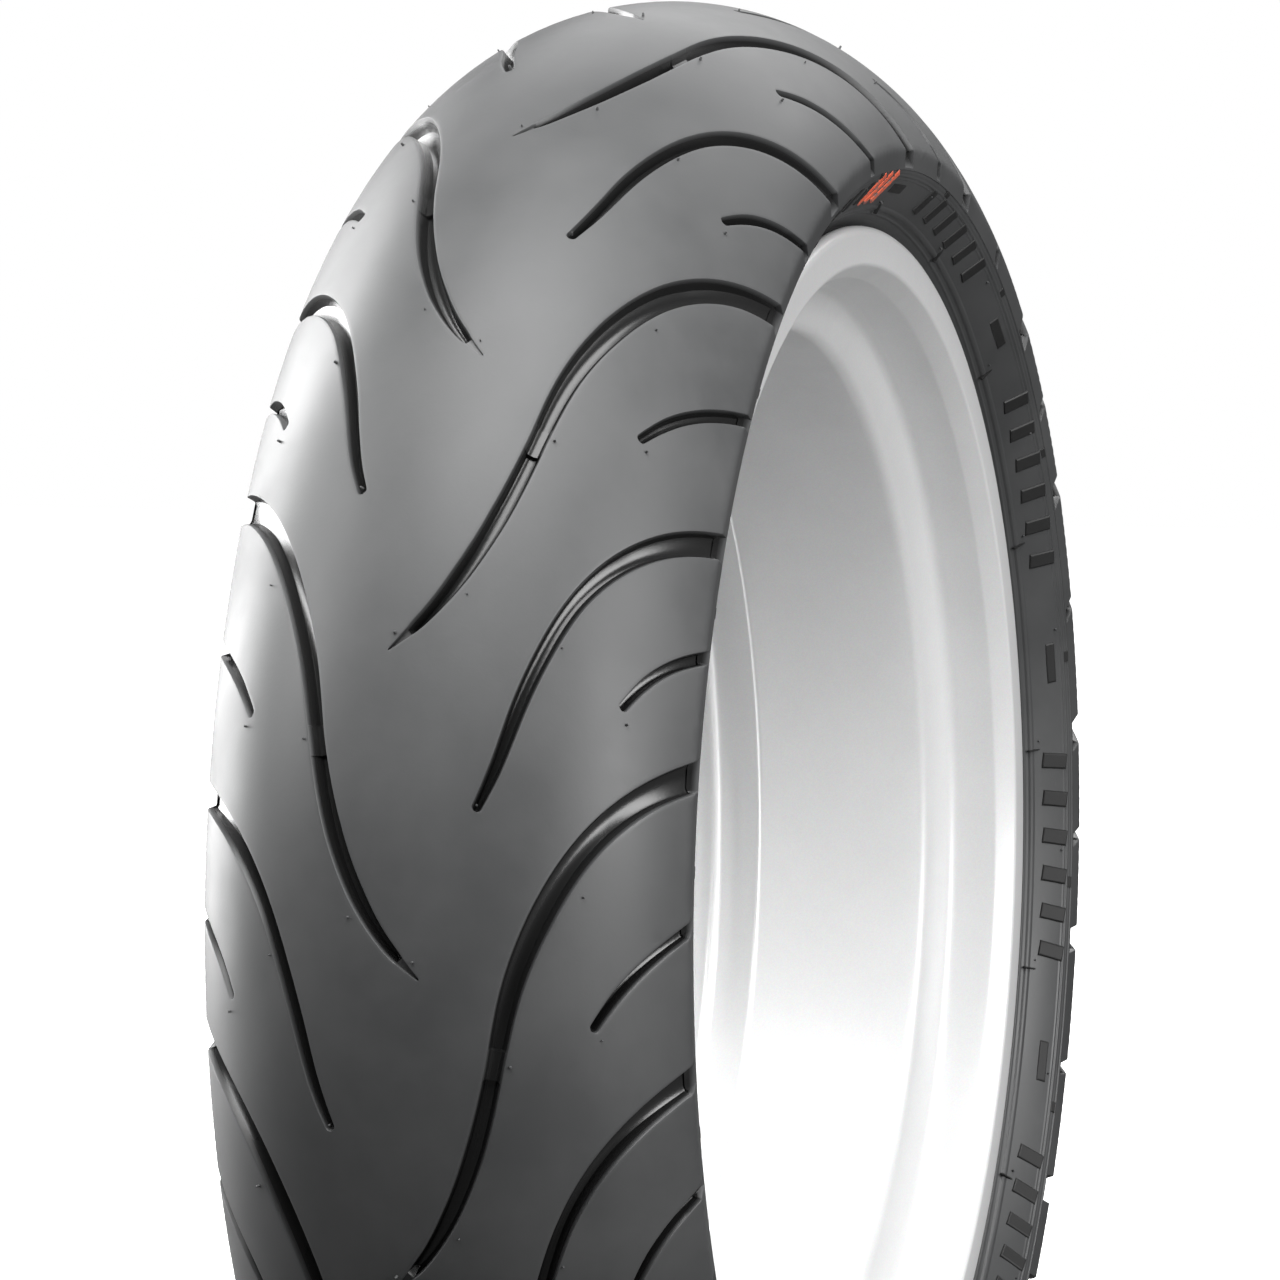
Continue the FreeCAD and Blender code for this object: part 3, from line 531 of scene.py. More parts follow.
def tread_pitch():
    """One pitch of the tread as an open tile: land, grooves, wings and underside."""
    shape = bmesh.new()
    # depth below the land, kept for the tread material: its groove gloss, and its painted shade
    # in the grooves
    sink_layer = shape.verts.layers.float.new("groove")

    def add(arc, angle, sink=0.0):
        y, r = CROWN.read(arc, sink)
        vert = shape.verts.new(on_wheel(y, r, angle + PATTERN_START))
        vert[sink_layer] = sink / GROOVE_DEPTH
        return vert

    grooves = pitch_grooves()
    spots, triangles = land_triangles(grooves)
    land = [add(arc, flat / FLAT_PER_DEGREE) for arc, flat in spots]
    for triangle in triangles:
        shape.faces.new([land[k] for k in triangle])
    for rows in grooves:
        grid = [[add(*point) for point in row] for row in rows]
        add_grid(shape, grid)
    add_grid(shape, underside_grid(shape))
    loose = [vert for vert in shape.verts if not vert.link_faces]
    bmesh.ops.delete(shape, geom=loose, context="VERTS")
    bmesh.ops.remove_doubles(shape, verts=shape.verts, dist=0.002 * MM)
    bmesh.ops.recalc_face_normals(shape, faces=shape.faces)
    turn_outwards(shape)
    mesh = bpy.data.meshes.new("tread_pitch")
    shape.to_mesh(mesh)
    shape.free()
    return mesh


def add_grid(shape, grid):
    """Four-sided faces between neighbouring rows of points."""
    for row, after in zip(grid, grid[1:]):
        for k in range(len(row) - 1):
            shape.faces.new([row[k], row[k + 1], after[k + 1], after[k]])


def turn_outwards(shape):
    """Turn the tile's faces over if its outermost face looks at the axle."""
    top = max(shape.faces, key=lambda face: math.hypot(*face.calc_center_median().xz))
    centre = top.calc_center_median()
    if top.normal.dot(Vector((centre.x, 0, centre.z))) < 0:
        bmesh.ops.reverse_faces(shape, faces=shape.faces)


def underside_grid(shape):
    """Rows of points from one wing's end round the hidden underside to the other's."""
    lean = 60.0
    inner = PROFILE_RADIUS - TREAD_DEPTH
    root = (81.0, 255.6)
    line = [WING, root]
    for step in range(13):
        turn = math.radians(lean - lean * step / 6)
        line.append((inner * math.sin(turn), CROWN_CENTRE + inner * math.cos(turn)))
    line += [(-root[0], root[1]), (-WING[0], WING[1])]
    right, left = pitch_line(CROWN_END), pitch_line(-CROWN_END)
    ends = 40
    grid = []
    for number, (y, r) in enumerate(line):
        share = number / (len(line) - 1)
        start = right + (left - right) * share + PATTERN_START
        grid.append([shape.verts.new(on_wheel(y, r, start + PITCH_ANGLE * k / ends))
                     for k in range(ends + 1)])
    return grid


# ---------------------------------------------------------------- geometry nodes

def node_tree(name, inputs):
    """A geometry tree with a Geometry socket each way and named inputs (name, kind, value)."""
    tree = bpy.data.node_groups.new(name, "GeometryNodeTree")
    face = tree.interface
    face.new_socket("Geometry", in_out="INPUT", socket_type="NodeSocketGeometry")
    face.new_socket("Geometry", in_out="OUTPUT", socket_type="NodeSocketGeometry")
    for label, kind, value in inputs:
        socket = face.new_socket(label, in_out="INPUT", socket_type=f"NodeSocket{kind}")
        if value is not None:
            socket.default_value = value
    start = tree.nodes.new("NodeGroupInput")
    end = tree.nodes.new("NodeGroupOutput")
    return tree, start, end


def add_node(tree, kind, settings=None, **inputs):
    """A node with its settings made and its inputs given a value or linked to a socket.

    An input is named by its label in lower case with _ for a space, or in_ and its number.
    """
    node = tree.nodes.new(kind)
    for key, value in (settings or {}).items():
        setattr(node, key, value)
    for key, value in inputs.items():
        if key.startswith("in_"):
            socket = node.inputs[int(key[3:])]
        else:
            socket = next(s for s in node.inputs
                          if s.enabled and s.name.lower().replace(" ", "_") == key)
        if isinstance(value, bpy.types.NodeSocket):
            tree.links.new(value, socket)
        else:
            socket.default_value = value
    return node


def run_tree(host, tree, values, name):
    """Run a geometry tree on a host mesh and keep the result as a plain mesh object."""
    modifier = host.modifiers.new(name, "NODES")
    modifier.node_group = tree
    for item in tree.interface.items_tree:
        if item.item_type == "SOCKET" and item.in_out == "INPUT" and item.name in values:
            modifier[item.identifier] = values[item.name]
    graph = bpy.context.evaluated_depsgraph_get()
    mesh = bpy.data.meshes.new_from_object(host.evaluated_get(graph))
    host.modifiers.remove(modifier)
    bpy.data.objects.remove(host)
    mesh.name = name
    return new_object(name, mesh)


def repeat_tree():
    """A tree that repeats one pitch all the way round the axle and welds the joins."""
    tree, start, end = node_tree("repeat_round_axle", [
        ("Pitch Count", "Int", PITCH_COUNT),
        ("Weld Distance", "Float", 0.003 * MM),
        ("Sharp Angle", "Float", math.radians(34)),
        ("Material", "Material", None),
    ])
    points = add_node(tree, "GeometryNodePoints", count=start.outputs["Pitch Count"])
    index = add_node(tree, "GeometryNodeInputIndex")
    step = add_node(tree, "ShaderNodeMath", {"operation": "DIVIDE"},
                    in_0=math.tau, in_1=start.outputs["Pitch Count"])
    turn = add_node(tree, "ShaderNodeMath", {"operation": "MULTIPLY"},
                    in_0=index.outputs[0], in_1=step.outputs[0])
    about = add_node(tree, "ShaderNodeCombineXYZ", y=turn.outputs[0])
    copies = add_node(tree, "GeometryNodeInstanceOnPoints", points=points.outputs[0],
                      instance=start.outputs["Geometry"], rotation=about.outputs[0])
    solid = add_node(tree, "GeometryNodeRealizeInstances", geometry=copies.outputs[0])
    weld = add_node(tree, "GeometryNodeMergeByDistance", geometry=solid.outputs[0],
                    distance=start.outputs["Weld Distance"])
    smooth = add_node(tree, "GeometryNodeSetShadeSmooth", geometry=weld.outputs[0])
    fold = add_node(tree, "GeometryNodeInputMeshEdgeAngle")
    is_soft = add_node(tree, "FunctionNodeCompare", {"operation": "LESS_THAN"},
                       a=fold.outputs["Unsigned Angle"], b=start.outputs["Sharp Angle"])
    crisp = add_node(tree, "GeometryNodeSetShadeSmooth", {"domain": "EDGE"},
                     geometry=smooth.outputs[0], shade_smooth=is_soft.outputs[0])
    coat = add_node(tree, "GeometryNodeSetMaterial", geometry=crisp.outputs[0],
                    material=start.outputs["Material"])
    tree.links.new(coat.outputs[0], end.inputs[0])
    return tree


def mark_tree():
    """A tree that stands a shape on every point, turned to the point's own directions."""
    tree, start, end = node_tree("stand_marks", [
        ("Shape", "Object", None),
        ("Spread", "Float", 0.0),
        ("Seed", "Int", 7),
        ("Material", "Material", None),
    ])
    shape = add_node(tree, "GeometryNodeObjectInfo", object=start.outputs["Shape"])
    size, outward, along = (
        add_node(tree, "GeometryNodeInputNamedAttribute", {"data_type": "FLOAT_VECTOR"},
                 name=label) for label in ("size", "outward", "along"))
    stand = add_node(tree, "FunctionNodeAlignRotationToVector", {"axis": "Z"},
                     vector=outward.outputs[0])
    turn = add_node(tree, "FunctionNodeAlignRotationToVector",
                    {"axis": "X", "pivot_axis": "Z"},
                    rotation=stand.outputs[0], vector=along.outputs[0])
    least = add_node(tree, "ShaderNodeMath", {"operation": "SUBTRACT"},
                     in_0=1.0, in_1=start.outputs["Spread"])
    most = add_node(tree, "ShaderNodeMath", {"operation": "ADD"},
                    in_0=1.0, in_1=start.outputs["Spread"])
    tall = add_node(tree, "FunctionNodeRandomValue", {"data_type": "FLOAT"},
                    min=least.outputs[0], max=most.outputs[0], seed=start.outputs["Seed"])
    scale = add_node(tree, "ShaderNodeVectorMath", {"operation": "SCALE"},
                     in_0=size.outputs[0], scale=tall.outputs[1])
    marks = add_node(tree, "GeometryNodeInstanceOnPoints", points=start.outputs["Geometry"],
                     instance=shape.outputs["Geometry"], rotation=turn.outputs[0],
                     scale=scale.outputs[0])
    solid = add_node(tree, "GeometryNodeRealizeInstances", geometry=marks.outputs[0])
    coat = add_node(tree, "GeometryNodeSetMaterial", geometry=solid.outputs[0],
                    material=start.outputs["Material"])
    tree.links.new(coat.outputs[0], end.inputs[0])
    return tree


def marks(name, tree, shape, spots, spread, material):
    """Copies of a shape at spots given as (place, outward, along, size)."""
    mesh = bpy.data.meshes.new(f"{name}_spots")
    mesh.from_pydata([spot[0] for spot in spots], [], [])
    for number, label in enumerate(("outward", "along", "size"), start=1):
        layer = mesh.attributes.new(label, "FLOAT_VECTOR", "POINT")
        for item, spot in zip(layer.data, spots):
            item.vector = spot[number]
    host = new_object(f"{name}_host", mesh)
    values = {"Shape": shape, "Spread": spread, "Material": material}
    return run_tree(host, tree, values, name)


def stub_shape():
    """A moulding vent's stub, one millimetre across and one tall."""
    outline = [(0.0, -0.4), (0.5, -0.4), (0.42, 0.75), (0.25, 1.0), (0.0, 1.0)]
    shape = turned_shape(outline, 8, lambda r, h, a: Vector(
        (r * math.cos(math.radians(a)), r * math.sin(math.radians(a)), h)) * MM, False)
    return new_object("stub_shape", finished_mesh(shape, "stub_shape"))


def bar_shape():
    """A raised bar with sloping sides, one millimetre each way at its foot."""
    shape = bmesh.new()
    rings = []
    for half, height in ((0.5, -0.5), (0.5, 0.0), (0.46, 0.7), (0.38, 1.0)):
        inset = 0.5 - half
        rings.append([shape.verts.new(Vector((x * (0.5 - inset * 0.4), y * half, height)) * MM)
                      for x, y in ((-1, -1), (1, -1), (1, 1), (-1, 1))])
    for ring, after in zip(rings, rings[1:]):
        for k in range(4):
            shape.faces.new([ring[k], ring[(k + 1) % 4], after[(k + 1) % 4], after[k]])
    shape.faces.new(rings[0])
    shape.faces.new(rings[-1])
    return new_object("bar_shape", finished_mesh(shape, "bar_shape", sharp_angle=25))


# ---------------------------------------------------------------- materials

def value_group(name, inputs, outputs):
    """A shader node group with named inputs (name, kind, value) and outputs (name, kind)."""
    tree = bpy.data.node_groups.new(name, "ShaderNodeTree")
    for label, kind, value in inputs:
        socket = tree.interface.new_socket(label, in_out="INPUT",
                                           socket_type=f"NodeSocket{kind}")
        if value is not None:
            socket.default_value = value
    for label, kind in outputs:
        tree.interface.new_socket(label, in_out="OUTPUT", socket_type=f"NodeSocket{kind}")
    return tree, tree.nodes.new("NodeGroupInput"), tree.nodes.new("NodeGroupOutput")


def grain_group():
    """Fine moulded grain over slow waves, as a height and a mask."""
    tree, start, end = value_group("moulded_grain", [
        ("Vector", "Vector", None), ("Grain Scale", "Float", 900.0),
        ("Wave Scale", "Float", 22.0), ("Wave Share", "Float", 0.4),
    ], [("Height", "Float"), ("Mask", "Float")])
    fine = add_node(tree, "ShaderNodeTexNoise", vector=start.outputs["Vector"],
                    scale=start.outputs["Grain Scale"], detail=3.0, roughness=0.6)
    slow = add_node(tree, "ShaderNodeTexNoise", vector=start.outputs["Vector"],
                    scale=start.outputs["Wave Scale"], detail=2.0, roughness=0.5)
    mixed = add_node(tree, "ShaderNodeMix", {"data_type": "FLOAT"},
                     factor=start.outputs["Wave Share"], a=fine.outputs[0],
                     b=slow.outputs[0])
    tree.links.new(mixed.outputs[0], end.inputs["Height"])
    tree.links.new(slow.outputs[0], end.inputs["Mask"])
    return tree


def bloom_group():
    """A pale dusty bloom lying in soft patches over a base colour."""
    tree, start, end = value_group("dusty_bloom", [
        ("Vector", "Vector", None), ("Base", "Color", (0.03, 0.03, 0.03, 1)),
        ("Bloom", "Color", (0.1, 0.1, 0.1, 1)), ("Amount", "Float", 0.3),
        ("Patch Scale", "Float", 14.0), ("Sheen Roughness", "Float", 0.4),
    ], [("Color", "Color"), ("Roughness", "Float")])
    patch = add_node(tree, "ShaderNodeTexNoise", vector=start.outputs["Vector"],
                     scale=start.outputs["Patch Scale"], detail=5.0, roughness=0.62)
    mask = add_node(tree, "ShaderNodeMapRange", value=patch.outputs[0],
                    from_min=0.38, from_max=0.68)
    share = add_node(tree, "ShaderNodeMath", {"operation": "MULTIPLY"},
                     in_0=mask.outputs[0], in_1=start.outputs["Amount"])
    colour = add_node(tree, "ShaderNodeMix", {"data_type": "RGBA"},
                      factor=share.outputs[0], a=start.outputs["Base"],
                      b=start.outputs["Bloom"])
    rough = add_node(tree, "ShaderNodeMath", {"operation": "MULTIPLY_ADD"},
                     in_0=share.outputs[0], in_1=0.25,
                     in_2=start.outputs["Sheen Roughness"])
    tree.links.new(colour.outputs[2], end.inputs["Color"])
    tree.links.new(rough.outputs[0], end.inputs["Roughness"])
    return tree


def turned_group():
    """Fine lines left by turning about the Z axis of the vector, as a height."""
    tree, start, end = value_group("turned_lines", [
        ("Vector", "Vector", None), ("Line Scale", "Float", 2500.0),
    ], [("Height", "Float")])
    parts = add_node(tree, "ShaderNodeSeparateXYZ", vector=start.outputs["Vector"])
    across = add_node(tree, "ShaderNodeCombineXYZ", x=parts.outputs[0], y=parts.outputs[1])
    radius = add_node(tree, "ShaderNodeVectorMath", {"operation": "LENGTH"},
                      in_0=across.outputs[0])
    line = add_node(tree, "ShaderNodeCombineXYZ", x=radius.outputs["Value"],
                    y=parts.outputs[2])
    noise = add_node(tree, "ShaderNodeTexNoise", vector=line.outputs[0],
                     scale=start.outputs["Line Scale"], detail=1.0)
    tree.links.new(noise.outputs[0], end.inputs["Height"])
    return tree


def blank_material(name):
    """A new node material, its Principled shader and its Object coordinates."""
    material = bpy.data.materials.new(name)
    material.use_nodes = True
    tree = material.node_tree
    shader = tree.nodes["Principled BSDF"]
    coords = tree.nodes.new("ShaderNodeTexCoord").outputs["Object"]
    return material, tree, shader, coords


def use_group(tree, group, **inputs):
    """Place a shader node group with its inputs set."""
    node = tree.nodes.new("ShaderNodeGroup")
    node.node_tree = group
    for key, value in inputs.items():
        socket = next(s for s in node.inputs if s.name.lower().replace(" ", "_") == key)
        if isinstance(value, bpy.types.NodeSocket):
            tree.links.new(value, socket)
        else:
            socket.default_value = value
    return node


def bump_into(tree, shader, height, strength, distance):
    """Feed a height into the shader's normal through a Bump node."""
    bump = add_node(tree, "ShaderNodeBump", strength=strength, distance=distance,
                    height=height)
    tree.links.new(bump.outputs[0], shader.inputs["Normal"])
    return bump


def mix_colours(tree, factor, first, second):
    """The colour between two, by a factor."""
    node = add_node(tree, "ShaderNodeMix", {"data_type": "RGBA"}, factor=factor, a=first,
                    b=second)
    return node.outputs[2]


def set_shader(shader, **values):
    """Set the shader's own sockets, named with _ for a space."""
    for key, value in values.items():
        shader.inputs[key.replace("_", " ")].default_value = value


def grey(level, warmth=0.0):
    """A nearly neutral colour."""
    return (level * (1 + warmth), level, level * (1 - warmth), 1.0)


def rubber(name, groups, base, bloom, amount, roughness, grain=0.25, patch=14.0):
    """Moulded rubber with grain and a soft dusty bloom."""
    material, tree, shader, coords = blank_material(name)
    dust = use_group(tree, groups["bloom"], vector=coords, base=base, bloom=bloom,
                     amount=amount, patch_scale=patch, sheen_roughness=roughness)
    moulded = use_group(tree, groups["grain"], vector=coords)
    tree.links.new(dust.outputs["Color"], shader.inputs["Base Color"])
    tree.links.new(dust.outputs["Roughness"], shader.inputs["Roughness"])
    bump_into(tree, shader, moulded.outputs["Height"], grain, 0.15 * MM)
    set_shader(shader, IOR=1.5)
    return material, tree, shader, dust


def tread_rubber(groups):
    """Satin tread rubber whose groove walls and floors are glossier, and painted darker by
    their depth as painted shade.
    """
    material, tree, shader, dust = rubber(
        "tread_rubber", groups, grey(0.052, -0.02), grey(0.085, -0.01), 0.5, 0.44)
    sunk = add_node(tree, "ShaderNodeAttribute", {"attribute_name": "groove"})
    mask = add_node(tree, "ShaderNodeMapRange", value=sunk.outputs["Fac"],
                    from_min=0.03, from_max=0.35)
    # painted shade: the groove walls and floors are painted nearly black by their depth
    colour = mix_colours(tree, mask.outputs[0], dust.outputs["Color"], grey(0.014))
    gloss = add_node(tree, "ShaderNodeMix", {"data_type": "FLOAT"},
                     factor=mask.outputs[0], a=dust.outputs["Roughness"], b=0.24)
    tree.links.new(colour, shader.inputs["Base Color"])
    tree.links.new(gloss.outputs[0], shader.inputs["Roughness"])
    return material


def rim_paint(groups):
    """Satin silver paint with a faint flake and soft turning marks."""
    material, tree, shader, coords = blank_material("rim_paint")
    dust = use_group(tree, groups["bloom"], vector=coords, base=grey(0.7, -0.003),
                     bloom=grey(0.64, -0.003), amount=0.5, patch_scale=30.0,
                     sheen_roughness=0.34)
    flake = add_node(tree, "ShaderNodeTexVoronoi", vector=coords, scale=2600.0)
    sparkle = mix_colours(tree, 0.06, dust.outputs["Color"], flake.outputs["Color"])
    tree.links.new(sparkle, shader.inputs["Base Color"])
    tree.links.new(dust.outputs["Roughness"], shader.inputs["Roughness"])
    axle_up = add_node(tree, "ShaderNodeMapping", vector=coords,
                       rotation=(math.radians(90), 0, 0))
    lines = use_group(tree, groups["turned"], vector=axle_up.outputs[0], line_scale=700.0)
    bump_into(tree, shader, lines.outputs["Height"], 0.05, 0.05 * MM)
    set_shader(shader, Metallic=0.08, Coat_Weight=0.25, Coat_Roughness=0.2)
    return material


def turned_metal(name, groups, base, tint, metallic=1.0, roughness=0.28):
    """Machined metal of the valve, with lines from turning about the valve's axis."""
    material, tree, shader, coords = blank_material(name)
    centred = add_node(tree, "ShaderNodeMapping", vector=coords,
                       location=(0, -VALVE_Y * MM, 0))
    dust = use_group(tree, groups["bloom"], vector=coords, base=base, bloom=tint,
                     amount=0.7, patch_scale=260.0, sheen_roughness=roughness)
    lines = use_group(tree, groups["turned"], vector=centred.outputs[0], line_scale=5200.0)
    tree.links.new(dust.outputs["Color"], shader.inputs["Base Color"])
    tree.links.new(dust.outputs["Roughness"], shader.inputs["Roughness"])
    bump_into(tree, shader, lines.outputs["Height"], 0.2, 0.03 * MM)
    set_shader(shader, Metallic=metallic)
    return material


def cord_rubber(name, groups, base, cord, lean, cord_scale):
    """Rubber with the lines of its cords showing through, crossing the axle at a lean."""
    material, tree, shader, dust = rubber(name, groups, base, grey(0.05), 0.4, 0.6)
    coords = next(n for n in tree.nodes if n.type == "TEX_COORD").outputs["Object"]
    parts = add_node(tree, "ShaderNodeSeparateXYZ", vector=coords)
    angle = add_node(tree, "ShaderNodeMath", {"operation": "ARCTAN2"},
                     in_0=parts.outputs[2], in_1=parts.outputs[0])
    shear = add_node(tree, "ShaderNodeMath", {"operation": "MULTIPLY_ADD"},
                     in_0=parts.outputs[1], in_1=lean, in_2=angle.outputs[0])
    ridge = add_node(tree, "ShaderNodeMath", {"operation": "MULTIPLY"},
                     in_0=shear.outputs[0], in_1=cord_scale)
    wave = add_node(tree, "ShaderNodeMath", {"operation": "SINE"}, in_0=ridge.outputs[0])
    mask = add_node(tree, "ShaderNodeMapRange", value=wave.outputs[0],
                    from_min=-0.2, from_max=0.9)
    colour = mix_colours(tree, mask.outputs[0], dust.outputs["Color"], cord)
    tree.links.new(colour, shader.inputs["Base Color"])
    bump_into(tree, shader, wave.outputs[0], 0.4, 0.2 * MM)
    return material


def rubbed_paint(groups):
    """Orange-red marking paint, rubbed thin in patches."""
    material, tree, shader, coords = blank_material("marking_paint")
    worn = add_node(tree, "ShaderNodeTexNoise", vector=coords, scale=420.0, detail=4.0,
                    roughness=0.7)
    mask = add_node(tree, "ShaderNodeMapRange", value=worn.outputs[0],
                    from_min=0.5, from_max=0.62)
    tone = add_node(tree, "ShaderNodeTexNoise", vector=coords, scale=150.0)
    fresh = mix_colours(tree, tone.outputs[0], (0.95, 0.1, 0.05, 1), (0.85, 0.2, 0.08, 1))
    colour = mix_colours(tree, mask.outputs[0], fresh, grey(0.16))
    tree.links.new(colour, shader.inputs["Base Color"])
    grain = use_group(tree, groups["grain"], vector=coords)
    bump_into(tree, shader, grain.outputs["Height"], 0.2, 0.1 * MM)
    set_shader(shader, Roughness=0.5)
    return material


def make_materials():
    """Every finish of the wheel by name."""
    groups = {"grain": grain_group(), "bloom": bloom_group(), "turned": turned_group()}
    return {
        "tread": tread_rubber(groups),
        "sidewall": rubber("sidewall_rubber", groups, grey(0.05, -0.02),
                           grey(0.085, -0.01), 0.5, 0.42)[0],
        # near-black rubber of the raised blocks and edge marks; on the edge blocks it is
        # painted shade of small dimples
        "dark_mark": rubber("dark_mark_rubber", groups, grey(0.012), grey(0.02),
                            0.4, 0.5)[0],
        "liner": rubber("liner_rubber", groups, grey(0.02), grey(0.035), 0.5, 0.5)[0],
        "filler": rubber("filler_rubber", groups, grey(0.018), grey(0.03), 0.4, 0.55)[0],
        "seal": rubber("seal_rubber", groups, grey(0.015), grey(0.03), 0.4, 0.45,
                       patch=200.0)[0],
        "cap": rubber("cap_plastic", groups, grey(0.012), grey(0.025), 0.4, 0.36,
                      grain=0.12, patch=180.0)[0],
        "belt": cord_rubber("belt_cord", groups, grey(0.03), grey(0.09), 9.0, 900.0),
        "carcass": cord_rubber("carcass_cord", groups, grey(0.03), grey(0.12, 0.03),
                               0.0, 1100.0),
        "rim": rim_paint(groups),
        "brass": turned_metal("valve_brass", groups, (0.72, 0.5, 0.2, 1),
                              (0.5, 0.34, 0.15, 1)),
        "steel": turned_metal("valve_steel", groups, (0.62, 0.62, 0.63, 1),
                              (0.45, 0.45, 0.46, 1)),
        "bead": turned_metal("bead_steel", groups, (0.45, 0.43, 0.4, 1),
                             (0.3, 0.26, 0.2, 1), roughness=0.4),
        "marking": rubbed_paint(groups),
    }


# ---------------------------------------------------------------- tyre pieces

def belongs(piece, body, nodes=()):
    """A piece rides on a body and stands for some CAD nodes, which it hides."""
    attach(piece, body)
    if nodes:
        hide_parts(*nodes)
    return piece


def coat(piece, material):
    """Give a piece one material."""
    piece.data.materials.clear()
    piece.data.materials.append(material)
    return piece


def tread_skin(materials):
    """The grooved tread: one pitch repeated round the wheel."""
    host = new_object("tread_pitch_host", tread_pitch())
    skin = run_tree(host, repeat_tree(), {"Material": materials["tread"]}, "tread_skin")
    return belongs(skin, "wheel", ["tread"])


WALL_RIBS = (
    # way down the wall, height of the rib, half width
    (2.6, 0.35, 0.5), (4.0, 0.22, 0.4), (18.6, 0.5, 1.1), (21.6, 0.3, 0.45),
)
WALL_BULGE = 1.1


def wall_points():
    """The sidewall's outer section from the tread's wing down to the rim's flange."""
    start, end = Vector(WING), Vector(FOOT)
    run = (end - start).length
    along = (end - start).normalized()
    out = Vector((-along.y, along.x))
    if out.x < 0:
        out = -out
    points = []
    steps = 84
    for step in range(steps + 1):
        way = run * step / steps
        share = way / run
        rise = WALL_BULGE * math.sin(math.pi * share) ** 0.9 if 0 < share < 1 else 0.0
        for place, height, half in WALL_RIBS:
            rise += height * max(0.0, 1 - ((way - place) / half) ** 2) ** 0.5 \
                if abs(way - place) < half else 0.0
        rise -= 0.35 * math.exp(-((way - 0.5) / 0.35) ** 2)
        points.append(tuple(start + along * way + out * rise))
    return points


def wall_line():
    """The sidewall's outer section, read by the way down it from the wing."""
    return SurfaceLine(wall_points(), lambda run: 0.0)


def sidewall_skin(name, side, material):
    """One sidewall with its moulded ribs; side is 1 towards +Y and -1 towards -Y."""
    outline = wall_points()
    outline += [(64.2, 232.7), (63.5, 232.5), (60.7, 232.5), (60.7, 236.1), (81.0, 255.6)]
    piece = wheel_turned(name, [(y * side, r) for y, r in outline], 256, sharp_angle=50)
    return coat(piece, material)


def wall_spot(wall, way, angle, side, size, lean=0.0):
    """A mark's place, outward and along directions and size on a sidewall.

    Its length lies round the wheel, leaned towards the axle by an angle.
    """
    y, r = wall.read(way)
    ny, nr = wall.normal(way)
    turn = math.radians(angle)
    outward = Vector((nr * math.cos(turn), ny * side, nr * math.sin(turn)))
    round_wheel = Vector((-math.sin(turn), 0.0, math.cos(turn)))
    down = outward.cross(round_wheel)
    tilt = math.radians(lean)
    along = round_wheel * math.cos(tilt) + down * math.sin(tilt)
    return on_wheel(y * side, r, angle), outward, along, size


# ---------------------------------------------------------------- rim

RIM_CORNERS = (
    (FLANGE_Y, FLANGE_R, 3.5), (BEAD_Y, FLANGE_R, 3.5), (BEAD_Y, SEAT_RADIUS, 1.5),
    (47.0, 216.86, 0.3), (46.0, 217.66, 0.8), (44.0, 217.66, 0.8), (43.0, 216.86, 2.0),
    (36.0, 199.6, 5.0), (-20.0, 199.6, 3.0), (-24.6, LEDGE_RADIUS, 1.5),
    (-43.0, LEDGE_RADIUS, 0.6), (-44.0, 217.66, 0.8), (-46.0, 217.66, 0.8),
    (-47.0, 216.86, 0.3), (-BEAD_Y, SEAT_RADIUS, 1.5), (-BEAD_Y, FLANGE_R, 3.5),
    (-FLANGE_Y, FLANGE_R, 3.5), (-FLANGE_Y, SEAT_RADIUS, 2.0), (-BEAD_Y, 213.7, 3.0),
    (-47.6, 212.26, 3.0), (-43.0, 206.0, 3.0), (-26.6, 206.0, 3.0), (-24.6, WELL_RADIUS, 2.5),
    (40.6, WELL_RADIUS, 5.0), (46.6, 212.26, 5.0), (BEAD_Y, 213.7, 3.0),
    (FLANGE_Y, SEAT_RADIUS, 2.0),
)


def cut_out(piece, cutter):
    """Take a cutter's volume out of a piece, and remove the cutter."""
    cut = piece.modifiers.new("cut", "BOOLEAN")
    cut.object = cutter
    cut.solver = "EXACT"
    graph = bpy.context.evaluated_depsgraph_get()
    mesh = bpy.data.meshes.new_from_object(piece.evaluated_get(graph))
    piece.modifiers.remove(cut)
    piece.data = mesh
    bpy.data.objects.remove(cutter)


def rim_barrel(material):
    """The rim's barrel, drilled and spot-faced for the valve."""
    outline = refined(rounded(RIM_CORNERS, steps=6), 7.0)
    piece = wheel_turned("rim_barrel", outline, 256, sharp_angle=38)
    cutter = valve_turned("valve_hole_cutter", [
        (0.0, -6.0), (5.0, -6.0), (5.0, 5.0), (7.5, 5.0), (7.5, 16.0), (0.0, 16.0)], 48)
    cut_out(piece, cutter)
    return belongs(coat(piece, material), "wheel", ["rim"])


# ---------------------------------------------------------------- valve pieces

THREAD_PITCH = 0.9
THREAD_DEPTH = 0.34
STEM_RADIUS = 3.9
NUT_HALF_FLATS = 6.0
CAP_RADIUS = 5.3
FLUTE_RADIUS = 0.55
FLUTE_SPACING = 20
FLUTE_TOP = 30.6


def thread_relief(foot, top, radius):
    """A relief that cuts a screw thread into a turned piece between two heights."""
    def relief(r, height, angle):
        if r < radius - 0.05 or not foot < height < top:
            return r, height
        phase = (height / THREAD_PITCH + angle / 360) % 1.0
        groove = min(max(abs(phase - 0.5) * 2.6 - 0.3, 0.0), 1.0)
        ends = min((height - foot) / 0.6, (top - height) / 0.6, 1.0)
        return r - THREAD_DEPTH * (1 - groove) * ends, height
    return relief


